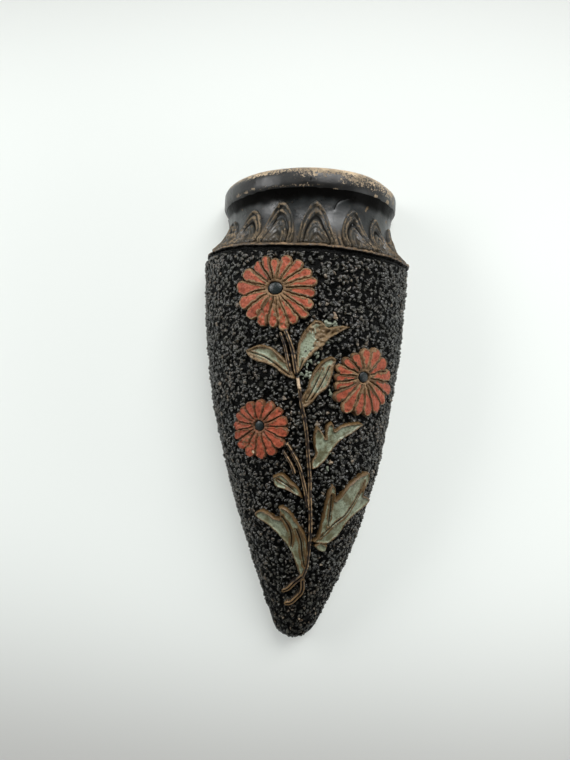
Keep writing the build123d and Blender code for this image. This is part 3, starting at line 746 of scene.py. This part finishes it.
def makeLeaf(name, leaf, seed):
    outline = []
    for number, side in enumerate(leaf["sides"]):
        following = leaf["sides"][(number + 1) % len(leaf["sides"])]
        outline += smoothLine(side + [following[0]])[:-1]
    veins = [smoothLine(vein) for vein in leaf["veins"]]
    bold = leaf.get("vein", 1)

    def shape(across, up, gap):
        wander, small = grain(across, up, 3, 1.1, seed)
        border = hump(gap, leafLook["borderAt"] * (1 + 0.3 * wander), leafLook["borderWidth"])
        lift = leafLook["blade"] + leafLook["border"] * border * (1 + 0.3 * wander) + 0.05 * small
        lift -= 0.55 * fade(gap, 0, 0.4)
        wide = leafLook["tan"] * leaf["tan"] * (1 + 0.35 * wander + 0.15 * small)
        tan = np.maximum(fade(gap, wide - 0.3, wide + 0.3), 0.42 * np.exp(-np.maximum(gap - wide, 0) / 0.9))
        # dark at the leaf's outer edge, where it drops to the wall: painted shade
        groove = 0.55 * fade(gap, 0.05, 0.35) + 0.4 * hump(gap - wide, 0.15, 0.2)
        for vein in veins:
            far, _, along = nearLine(columns(across, up), vein)
            thin = bold * (1 - 0.4 * np.abs(2 * along - 1) + 0.2 * wander)
            # a vein is a dark dip with a bare bank at each side
            line = hump(far / leafLook["veinWidth"], 0, thin) * ease(thin + 0.4 * small, 0.2, 0.55)
            beside = far - leafLook["bankAt"] * thin ** 0.6 + 0.12 * small
            bank = hump(beside, 0, leafLook["bankWidth"] * bold ** 0.8)
            lift += leafLook["bank"] * bank - leafLook["veinDip"] * line
            groove = np.maximum(groove, 0.95 * line)
            tan = np.maximum(tan, (0.7 + 0.3 * wander) * bank)
        worn = wornSpots(across, up, leaf.get("worn", ()), 0.5)
        groove = np.maximum(groove, 0.55 * worn * ease(-small, 0.2, 0.6))
        amber = leaf["amber"] + 0.5 * np.exp(-gap / 1.6) + 0.2 * wander
        return lift + worn * 0.9 * small, columns(tan, groove, worn, amber)

    pad(name, outline, leafLook["spacing"], shape, "sage_glaze")


for seed, (name, leaf) in enumerate(leaves.items()):
    makeLeaf(name, leaf, seed + 20)
print("leaves made:", len(leaves))

# Stems, from their thick end

stems = {
    "mainStem": {
        "width": (1.9, 1.5), "line": [
            (2.4, 35.8), (3.6, 40), (4.0, 44), (4.3, 49), (4.6, 54), (4.5, 60), (4.2, 66), (3.8, 72),
            (3.6, 78), (2.9, 85), (2.4, 90), (1.8, 96), (0.6, 103), (-0.6, 108), (-1.4, 113), (-2.4, 118.5)]},
    "upperFlowerStalkLeft": {
        "node": "upper_flower_stalks", "width": (1.7, 1.2), "line": [
            (-5.2, 120.5), (-6.6, 126), (-7.8, 131), (-9.5, 135.3)]},
    "upperFlowerStalkRight": {
        "node": "upper_flower_stalks", "width": (1.9, 1.6), "line": [
            (-2.9, 120.1), (-3.7, 124.25), (-4.5, 128.4), (-5.75, 132.2), (-7.6, 136.4)]},
    "leftFlowerStalkLeft": {
        "node": "left_flower_stalks", "width": (1.6, 1.2), "line": [
            (-2.6, 80.6), (-3.4, 83), (-5, 86), (-7.2, 89.4)]},
    "leftFlowerStalkRight": {
        "node": "left_flower_stalks", "width": (1.7, 1.3), "line": [
            (3.1, 67), (2.25, 72), (1.2, 76.6), (0, 81.2), (-1.4, 85), (-3.4, 88.6), (-5.6, 92)]},
    "rootCurlUpper": {
        "node": "root_curls", "width": (2.3, 1.9), "cored": True, "line": [
            (2.1, 35.2), (0.6, 33.6), (-1, 32.1), (-3.5, 29), (-5.6, 27.6)]},
    "rootCurlLower": {
        "node": "root_curls", "width": (2.0, 2.2), "cored": True, "line": [
            (2.2, 33), (2.3, 29.6), (1.7, 27), (0, 24.8), (-2.25, 22.1), (-4.3, 21.4)]}}
stemLook = {"low": 0.55, "rise": 0.85, "spacing": 0.24, "coreDip": 0.5, "fork": (113.6, 114.6, 118, 118.8)}


def makeStem(name, stem, seed):
    line = np.array(smoothLine(stem["line"]))
    way = np.gradient(line, axis=0)
    way /= np.hypot(*way.T)[:, None]
    half = np.linspace(*stem["width"], len(line))[:, None] / 2
    side = columns(-way[:, 1], way[:, 0]) * half
    ends = line[0] - way[0] * half[0], line[-1] + way[-1] * half[-1]
    outline = [*(line + side), ends[1], *(line - side)[::-1], ends[0]]

    def shape(across, up, gap):
        far, _, along = nearLine(columns(across, up), line)
        width = np.interp(along, [0, 1], stem["width"]) / 2
        wander, small = grain(across, up, 4, 1.3, seed)
        crown = arc(far / width)
        lift = stemLook["low"] + stemLook["rise"] * crown * (1 + 0.25 * wander) + 0.12 * small
        border = hump(far / width, 0.58, 0.3) * (0.7 + 0.45 * small + 0.14 * wander)
        groove = fade(crown, 0.15, 0.6)
        if stem.get("cored"):
            lift -= stemLook["coreDip"] * hump(far, 0, 0.35)
            border = ease(crown, 0.1, 0.4) * ease(far, 0.12, 0.4) * (0.66 + 0.25 * wander)
            groove = hump(far, 0, 0.28)
        worn = 0
        if name == "mainStem":  # bare clay where the stem meets the upper stalks
            start, full, less, end = stemLook["fork"]
            worn = ease(up, start, full) * fade(up, less, end) * ease(crown, 0.2, 0.5)
        return lift, columns(border, groove, worn, 1.25 - up / 60 + 0.4 * wander)

    pad(name, outline, stemLook["spacing"], shape, "brown_glaze", stem.get("node"))


for seed, (name, stem) in enumerate(stems.items()):
    makeStem(name, stem, seed + 40)
print("stems made:", len(stems))

# Collar, bead and rim: each is its own section turned round the front. Bearings are in degrees

collar = {
    "ledge": 46.0, "ledgeStep": 0.9, "ledgeTop": 170.6, "neck": 36.8, "neckHeight": 186.5, "neckFlare": 0.8,
    "over": 7.5, "foot": 168.4, "outFoot": 1.6, "inFoot": 6.3, "sectionSteps": 56, "steps": 360,
    "wobble": 0.25, "markDepth": 0.28, "markFrom": 180,
    "mark": [(14.6, 186.5), (15.9, 188.6), (18.2, 190.0), (22.3, 191.0), (27.5, 191.7)], "markScale": 0.64,
    "chips": [(38.8, 189.4, 1.4, 0.9), (37.6, 188.3, 1.0, 0.7), (63, 187.5, 1.5, 0.9),
              (-52, 189.0, 1.2, 0.7)]}
collarIn = collar["ledge"] - collar["ledgeStep"] - collar["neck"]
collarTall = collar["neckHeight"] - collar["ledgeTop"]
curve = (collarIn ** 2 + collarTall ** 2) / (2 * collarIn)
collarTurn = math.atan2(collarTall, curve - collarIn)
collarReach = curve * collarTurn


def collarProfile(up):  # radius and height, up measured on the hollow from the ledge
    turn = collarTurn - np.minimum(up, collarReach) / curve
    over = np.maximum(up - collarReach, 0)
    radius = collar["neck"] + curve - curve * np.cos(turn) + collar["neckFlare"] * (over / 5) ** 2
    return radius, collar["neckHeight"] - curve * np.sin(turn) + over


def turned(name, section, steps, finish, slotName, node=None):
    bm = bmesh.new()
    verts, edges = loop(bm, [(-radius, 0, height) for radius, height in section])
    made = bmesh.ops.spin(bm, geom=verts + edges, axis=(0, 0, 1), cent=(0, 0, 0), angle=math.pi, steps=steps)
    last = [item for item in made["geom_last"] if isinstance(item, bmesh.types.BMEdge)]
    bmesh.ops.edgeloop_fill(bm, edges=edges)
    bmesh.ops.edgeloop_fill(bm, edges=last)
    bmesh.ops.recalc_face_normals(bm, faces=bm.faces[:])
    mesh = toMesh(bm, name)
    x, y, z = readPlaces(mesh).T
    bearing = np.arctan2(x, -y)
    radius, height, tone = finish(bearing, np.hypot(x, y), z)
    writePlaces(mesh, settle(radius * np.sin(bearing), -vase["slab"] - radius * np.cos(bearing), height))
    writeTone(mesh, tone)
    makePiece(name, mesh, slotName, node, sharp=40)


def around(bearing, radius, height):
    return columns(radius * np.sin(bearing), -radius * np.cos(bearing), height)


def chipped(angle, height, chips):  # small places where the glaze is knocked off
    share = 0 * angle
    for middle, level, wide, tall in chips:
        share = np.maximum(share, fade(np.hypot((angle - middle) / wide, (height - level) / tall), 0.5, 1.1))
    return share


def collarSection():
    outer = [collarProfile(up) for up in np.linspace(0, collarReach + collar["over"], collar["sectionSteps"])]
    inner = [(radius - vase["wall"], height) for radius, height in reversed(outer[4::2])]
    feet = [(collar["ledge"] - collar[side], collar["foot"]) for side in ("outFoot", "inFoot")]
    return [feet[0], *outer, *inner, feet[1]]


def finishCollar(bearing, radius, height):
    places, angle = around(bearing, radius, height), np.degrees(bearing)
    wave, fine = roughly(places, 16, 1), roughly(places, 4, 2)
    lines = roughly(columns(bearing * 36, 0, height / 7), 1.1, 3)
    low = fade(height + 1.6 * fine, 173, 181)
    scale, upper = collar["markScale"], height > collar["markFrom"]
    markLine = smoothLine([(angle * scale, level) for angle, level in collar["mark"]])
    mark, _, _ = nearLine(columns(angle * scale, height), markLine)
    radius = radius + collar["wobble"] * wave + 0.07 * fine + 0.16 * lines * low
    radius -= collar["markDepth"] * hump(mark, 0, 0.4) * upper
    chips = chipped(angle, height, collar["chips"])
    worn = np.maximum(low * (0.4 + 0.2 * lines + 0.1 * fine), 0.8 * chips)
    left, middle = fade(angle, -30, 0), hump(angle, 4, 17)
    # Painted shade: a dark band on the neck under the rim, deeper at the left and starting higher in the
    # middle, and a dark line in the incised mark
    underRimShade = ease(height + 0.6 * fine, 186.2 + 2.0 * middle, 191.3 + 0.4 * middle)
    shade = np.maximum((0.82 + 0.13 * left) * underRimShade, 0.85 * hump(mark, 0, 0.3) * upper)
    streak = np.clip(low * (0.48 + 0.75 * lines), 0, 0.95)
    # Painted shade at the collar's foot by the bead and in the hollows between its streaks, darkest below the
    # bead
    foot = fade(height, 171.0, 172.6)
    creaseShade = np.maximum(0.45 * foot, 0.6 * low * ease(-lines, 0.0, 0.5))
    shade = np.maximum(np.maximum(shade, creaseShade), 0.95 * fade(height, 169.3, 170.1))
    return radius, height + ledgeWave(bearing, height), columns(worn * (1 - 0.8 * foot), shade, streak, 1)


turned("collar", collarSection(), collar["steps"], finishCollar, "collar_glaze", "shoulder_collar")

bead = {"radius": 0.8, "centre": 45.05, "height": 169.95, "steps": 520, "turns": 14, "knobs": 0.3}


def finishBead(bearing, radius, height):
    knobs = roughly(around(bearing, radius, height), 1.7, 4)
    wave = roughly(around(bearing, 45, 0), 3.2, 5)
    grow = 1 + bead["knobs"] * knobs
    # the bead's lower half gets painted shade (the second tone) and less wear
    low = fade(height, bead["height"] - 0.3, bead["height"] + 0.1)
    radius = bead["centre"] + (radius - bead["centre"]) * grow + 0.12 * wave
    height = bead["height"] + (height - bead["height"]) * grow + 0.2 * wave + ledgeWave(bearing, height)
    return radius, height, columns(0.57 + 0.2 * wave - 0.6 * low, low, 0.4, 1)


beadSection = roundLine((bead["centre"], bead["height"]), (bead["radius"], bead["radius"]), -math.pi, math.pi,
                        bead["turns"], closed=True)
turned("ledgeBead", beadSection, bead["steps"], finishBead, "bead_glaze")

rim = {
    "outer": 39.2, "width": 9.0, "rise": 11.2, "top": 203.0, "steps": 400, "turns": 18,
    "wobble": 0.3, "drop": 0.9,
    "chips": [(14.5, 193.9, 2.6, 0.8), (-52, 194.4, 4.0, 0.6), (-44, 195.0, 3.0, 0.7), (-38, 195.6, 1.6, 0.6),
              (57, 194.3, 3.2, 0.9), (44, 194.6, 2.4, 0.9), (66, 195.5, 2.0, 1.2)]}
rimHalf = rim["width"] / 2
rimMiddle = rim["outer"] - rimHalf
rimLow, rimHigh = rim["top"] - rim["rise"] + rimHalf, rim["top"] - rimHalf


def finishRim(bearing, radius, height):
    places, angle = around(bearing, radius, height), np.degrees(bearing)
    wave = roughly(around(bearing, 38, 0), 18, 7)
    fine, patch = roughly(places, 3, 8), roughly(places, 8, 9)
    out = radius - rimMiddle
    radius = radius + rim["wobble"] * wave + 0.06 * fine
    drop = rim["drop"] * hump(angle, 60, 13) * ease(height, 195, 202)
    front = ease(out, 0.8, 2.6)
    # Rubbed places: the top edge, the right side, the middle, the chips, and a line of specks at the left
    worn = [
        ease(height, 197.9, 201.0) * ease(out, -3.4, -0.6) * (0.54 + 0.15 * ease(angle, -66, -18)),
        0.56 * ease(angle, 8, 20) * fade(angle, 60, 76) * ease(height, 194.2, 197.6) * front,
        0.53 * hump(angle, 0, 18) * ease(height, 195.8, 199.2) * front,
        0.78 * chipped(angle, height, rim["chips"]) * front,
        0.45 * hump(height, 194.9, 0.7) * front * ease(angle, -72, -50) * fade(angle, 2, 12)]
    worn = np.max(worn, axis=0)
    worn += (0.12 * patch + 0.06 * fine) * ease(worn, 0.1, 0.4) - 0.02
    # painted shade on the rim's underside
    shade = 0.9 * fade(height + 0.3 * fine, 191.8, 195.2)
    return radius, height - drop, columns(worn, shade, 0, 1)


rimSection = roundLine((rimMiddle, rimHigh), (rimHalf, rimHalf), 0, math.pi, rim["turns"]) \
    + roundLine((rimMiddle, rimLow), (rimHalf, rimHalf), math.pi, 2 * math.pi, rim["turns"])
turned("rolledRim", rimSection, rim["steps"], finishRim, "rim_glaze")
print("collar, bead and rim made")

# Pointed arches on the collar: bearing, half width at the foot and height of the point above the tip

arches = {
    "spacing": 0.24, "low": 0.15, "rise": 1.0, "blend": 1.68, "under": -1.0, "ringWidth": 0.058,
    "rings": ((0.95, 1), (0.8, 1), (0.57, 0.75), (0.43, 0.75), (0.19, 0.75)),
    "places": [(-60.5, 7.0, 184.6), (-38.8, 7.2, 187.2), (-18.6, 7.4, 189.4), (3.0, 7.5, 189.2),
               (27.2, 7.1, 187.4), (45.8, 6.6, 186.2), (67.5, 6.6, 185.4)]}


def onCollar(across, up, lift):  # across is measured on a circle of the neck's own size
    radius, height = collarProfile(up)
    bearing = across / collar["neck"]
    turn = collarTurn - np.minimum(up, collarReach) / curve
    radius, height = radius + lift * np.cos(turn), height + lift * np.sin(turn)
    return settle(radius * np.sin(bearing), -vase["slab"] - radius * np.cos(bearing), height)


def stretch(up):  # how much wider the collar is than its neck
    return collarProfile(up)[0] / collar["neck"]


def makeArch(number, angle, width, top):
    middle = math.radians(angle) * collar["neck"]
    tall = collarReach + top - collar["neckHeight"]
    if top < collar["neckHeight"]:
        ups = np.linspace(0, collarReach, 40)
        tall = np.interp(top, collarProfile(ups)[1], ups)
    blend = arches["blend"]
    shares = np.linspace(0.02, 1, 22)
    reaches = (1 - shares ** blend) ** (1 / blend) * width / stretch(shares * tall)
    left, right = [[(middle + way * reach, share * tall) for reach, share in zip(reaches, shares)]
                   for way in (-1, 1)]

    def shape(across, up, gap):
        wander = roughly(columns(across, up, 0), 6, number + 60)
        lean = roughly(columns(0, up, 0), 9, number + 70)
        small = roughly(columns(across / 0.8, up / 3, 0), 1, number + 80)
        reach = np.abs((across - middle) * stretch(up) + 0.35 * lean) / width  # 1 at the foot's outside
        level = (reach ** blend + np.clip(up / tall, 0, 1) ** blend) ** (1 / blend) + 0.025 * wander
        rings = [high * hump(level, ring, arches["ringWidth"]) for ring, high in arches["rings"]]
        ridge = np.max(rings, axis=0)
        lift = arches["low"] + arches["rise"] * ridge * (1 + 0.2 * wander) + 0.1 * small
        lift -= 0.3 * fade(gap, 0, 0.35)
        worn = 0.67 * ridge * (1 - 0.2 * ease(up, 8, 20)) + 0.16 * wander + 0.2 * small - 0.02
        streak = np.clip(0.35 * fade(up, 3, 11) + 0.25 * small, 0, 0.7)
        # painted shade in the valleys between the ridges
        valley = (0.56 + 0.3 * ease(level, 0.55, 0.75)) * fade(ridge, 0.0, 0.45) * fade(level, 0.97, 1.05)
        return lift, columns(worn, valley, streak, 1)

    pad(f"collarArch{number + 1}", left + right[-2::-1], arches["spacing"], shape, "arch_glaze",
        f"collar_arch_{number + 1}", onCollar, arches["under"])


for number, (angle, width, top) in enumerate(arches["places"]):
    makeArch(number, angle, width, top)
print("arches made:", len(arches["places"]))

# The flat back, with the nail hole

back = {
    "lip": 0.3, "holeSteps": 48, "edge": 0.9, "edgeSteps": 3, "tipEase": 3, "topEase": 4.6, "easeSteps": 10,
    "slim": [(0, -0.1), (20, -0.9), (90, -0.9), (140, 0), (170, 0)]}


def halfWidth(height):  # of what stands in front of the back, with a lip round it
    lip = back["lip"]
    if height > rim["top"] - rim["rise"]:
        offset = height - np.clip(height, rimLow, rimHigh)
        return rimMiddle + math.sqrt(max((rimHalf + lip) ** 2 - offset ** 2, 0))
    if height > collar["ledgeTop"] + lip:
        radii, heights = collarProfile(np.linspace(0, collarReach + 7, 60))
        return np.interp(height, heights, radii) + lip
    if height > vase["shoulder"]:
        return vase["bodyRadius"] + lip
    if height > vase["tipRadius"] * (1 - math.sin(flankTurn)):
        return flankCentre + math.sqrt((flankRadius + lip) ** 2 - (vase["shoulder"] - height) ** 2)
    return math.sqrt(max((vase["tipRadius"] + lip) ** 2 - (vase["tipRadius"] - height) ** 2, 0))


def slabOutline():
    low, high = -back["lip"], vase["height"] + back["lip"]
    turns = np.linspace(0, math.pi / 2, back["easeSteps"])
    heights = np.concatenate([  # closer together where the outline turns
        low + back["tipEase"] * (1 - np.cos(turns)), np.linspace(3.5, 168, 70), [169.0, 171.2, 171.5],
        np.linspace(172.2, 191.2, 18), np.linspace(191.9, 198, 8),
        high - back["topEase"] * (1 - np.sin(turns))])
    slims = np.interp(heights, *np.array(back["slim"]).T)
    halves = [max(halfWidth(height) + slim, 0) for height, slim in zip(heights, slims)]
    right = list(zip(halves, -heights, 0 * heights))
    return [(-x, y, z) for x, y, z in right] + right[::-1]


def makeSlab():
    bm = bmesh.new()
    loop(bm, slabOutline())
    bmesh.ops.remove_doubles(bm, verts=bm.verts[:], dist=0.02)
    hole = bmesh.ops.create_circle(bm, cap_ends=False, radius=vase["holeRadius"], segments=back["holeSteps"])
    bmesh.ops.translate(bm, verts=hole["verts"], vec=(0, vase["holeDrop"] - vase["height"], 0))
    bmesh.ops.triangle_fill(bm, use_beauty=True, edges=bm.edges[:])
    thicken(bm, vase["slab"])
    rims = [edge for edge in bm.edges if edge.calc_face_angle(0) > math.radians(60)]
    bmesh.ops.bevel(bm, geom=rims, offset=back["edge"], offset_type="OFFSET", affect="EDGES",
                    segments=back["edgeSteps"], profile=0.5, material=-1, clamp_overlap=True)
    bmesh.ops.recalc_face_normals(bm, faces=bm.faces[:])
    mesh = toMesh(bm, "backSlab")
    x, down, depth = readPlaces(mesh).T
    writePlaces(mesh, settle(x, -depth - vase["slab"], -down))
    writeTone(mesh, columns(ease(-depth, 2.0, 4.4), 0, 0, 1))
    makePiece("backSlab", mesh, "back_clay", sharp=40)


makeSlab()
print("back slab made")

# Stage, light and camera. The vase lies on its back on a white table and is seen from above. Metres here

stage = {
    "gap": 0.0006, "size": 3.0, "glow": 0.4, "rough": 0.6, "clear": 0.012, "light": (0.868, 0.907, 0.874),
    "dim": (0.53, 0.535, 0.515), "centre": -0.032, "start": 0.008, "reach": 0.05, "flat": 0.15, "side": 0.13,
    "foot": 0.08, "brighterRight": 0.075, "darkerLeft": 0.03}
lights = {
    "window": {"place": (0.6, -1.4, 1.2), "size": (1.4, 0.9), "power": 39},
    "leftSide": {"place": (-0.75, -0.5, 0.25), "size": (0.2, 0.6), "power": 4.2},
    "rightSide": {"place": (0.8, -0.3, -0.2), "size": (0.15, 0.5), "power": 0.9}}
lightAim = (0, 0, -0.06)
room = {"low": 0.02, "side": 0.18, "above": 0.35, "behind": 0.8, "seen": 0.8, "colour": (0.97, 0.985, 1)}
camera = {"across": -3.32, "away": -269.17, "up": 115.32, "tip": -0.53, "roll": -1.01, "turn": 1.69,
          "focalPixels": 571, "heightPixels": 760, "sensor": 36, "nearest": 0.01}


def tableWhiteAndPaintedLight(tree):  # the table's white with a painted pool of light: lighter round the vase, a little more so at its right foot, darker to the left
    across, _, up = axes(tree, "Object")
    far = across.work("POWER", 2.0) * stage["flat"] + (up - stage["centre"]).work("POWER", 2.0)
    colour = mixed(ranged(far, stage["start"], stage["reach"]), stage["light"], stage["dim"])
    right = ranged(across, 0.0, stage["side"], 0.0, stage["brighterRight"]) * ranged(up, stage["foot"], 0.0)
    left = ranged(across, 0.0, -stage["side"], 0.0, stage["darkerLeft"])
    scaled = tree.nodes.new("ShaderNodeVectorMath")
    scaled.operation = "SCALE"
    plug(scaled.inputs[0], colour)
    plug(scaled.inputs["Scale"], right - left + 1.0)
    return Value(tree, scaled.outputs[0])


def shaders(share, first, second):  # a mix of two of them
    node = share.tree.nodes.new("ShaderNodeMixShader")
    for socket, value in zip(node.inputs, (share, first, second)):
        plug(socket, value)
    return Value(share.tree, node.outputs[0])


def makeStage():  # the table is clear from behind, and to light that comes from close by
    bm = bmesh.new()
    bmesh.ops.create_grid(bm, x_segments=1, y_segments=1, size=stage["size"])
    bmesh.ops.rotate(bm, cent=(0, 0, 0), matrix=Matrix.Rotation(math.radians(90), 3, "X"), verts=bm.verts[:])
    bmesh.ops.translate(bm, vec=(0, stage["gap"], 0), verts=bm.verts[:])
    table = placed("table", toMesh(bm, "table"))
    material, tree, shader = newMaterial("whiteTable")
    colour = tableWhiteAndPaintedLight(tree)
    plug(shader.inputs["Base Color"], colour)
    plug(shader.inputs["Roughness"], stage["rough"])
    seen = output(tree, "ShaderNodeLightPath", "Is Camera Ray")
    close = output(tree, "ShaderNodeLightPath", "Ray Length").work("LESS_THAN", stage["clear"])
    through = output(tree, "ShaderNodeNewGeometry", "Backfacing").work("MAXIMUM", close * (seen * -1.0 + 1.0))
    # for the camera the table partly glows in its own colour: painted light that softens its shadows
    glow = tree.nodes.new("ShaderNodeEmission")
    plug(glow.inputs["Color"], colour)
    lit = shaders(seen * stage["glow"], Value(tree, shader.outputs[0]), Value(tree, glow.outputs[0]))
    surface = shaders(through, lit, output(tree, "ShaderNodeBsdfTransparent", 0))
    plug(tree.nodes["Material Output"].inputs["Surface"], surface)
    table.data.materials.append(material)


def makeLight(name, place, size, power):
    lamp = bpy.data.lights.new(name, "AREA")
    lamp.shape, lamp.size, lamp.size_y, lamp.energy = "RECTANGLE", *size, power
    holder = placed(name, lamp)
    holder.location = place
    holder.rotation_mode = "QUATERNION"
    holder.rotation_quaternion = (Vector(lightAim) - Vector(place)).to_track_quat("-Z", "Y")


def makeCamera():
    origin = vase["height"] - vase["holeDrop"]
    place = Vector((camera["across"], camera["away"], camera["up"] - origin)) * 0.001
    tip, roll, turn = [Matrix.Rotation(math.radians(camera[name]), 3, axis)
                       for name, axis in (("tip", "X"), ("roll", "Z"), ("turn", "Y"))]
    facing = (tip @ roll @ turn).transposed()
    sides = [facing @ Vector(side) for side in ((1, 0, 0), (0, 0, 1), (0, -1, 0))]
    lens = bpy.data.cameras.new("camera")
    lens.sensor_width, lens.sensor_fit = camera["sensor"], "AUTO"
    lens.lens = camera["focalPixels"] / camera["heightPixels"] * camera["sensor"]
    lens.clip_start = camera["nearest"]
    holder = placed("camera", lens)
    holder.matrix_world = Matrix.Translation(place) @ Matrix(sides).transposed().to_4x4()
    bpy.context.scene.camera = holder


def makeRoom():  # dim where the camera stands, bright above, to the sides and behind the vase
    world = bpy.data.worlds.new("room")
    world.use_nodes = True
    tree = world.node_tree
    _, depth, up = axes(tree, "Generated")
    level = ranged(depth, -0.85, -0.35) * room["side"] + room["low"]
    level = level + ranged(up, 0.1, 0.9) * room["above"] + ranged(depth, 0.0, 0.5) * room["behind"]
    level = ranged(output(tree, "ShaderNodeLightPath", "Is Camera Ray"), 0.0, 1.0, level, room["seen"])
    plug(tree.nodes["Background"].inputs["Strength"], level)
    plug(tree.nodes["Background"].inputs["Color"], room["colour"])
    bpy.context.scene.world = world


makeStage()
for name, light in lights.items():
    makeLight(name, **light)
makeRoom()
makeCamera()
bpy.context.scene.view_settings.view_transform = "Standard"
print("stage, light and camera made")

bpy.context.view_layer.update()
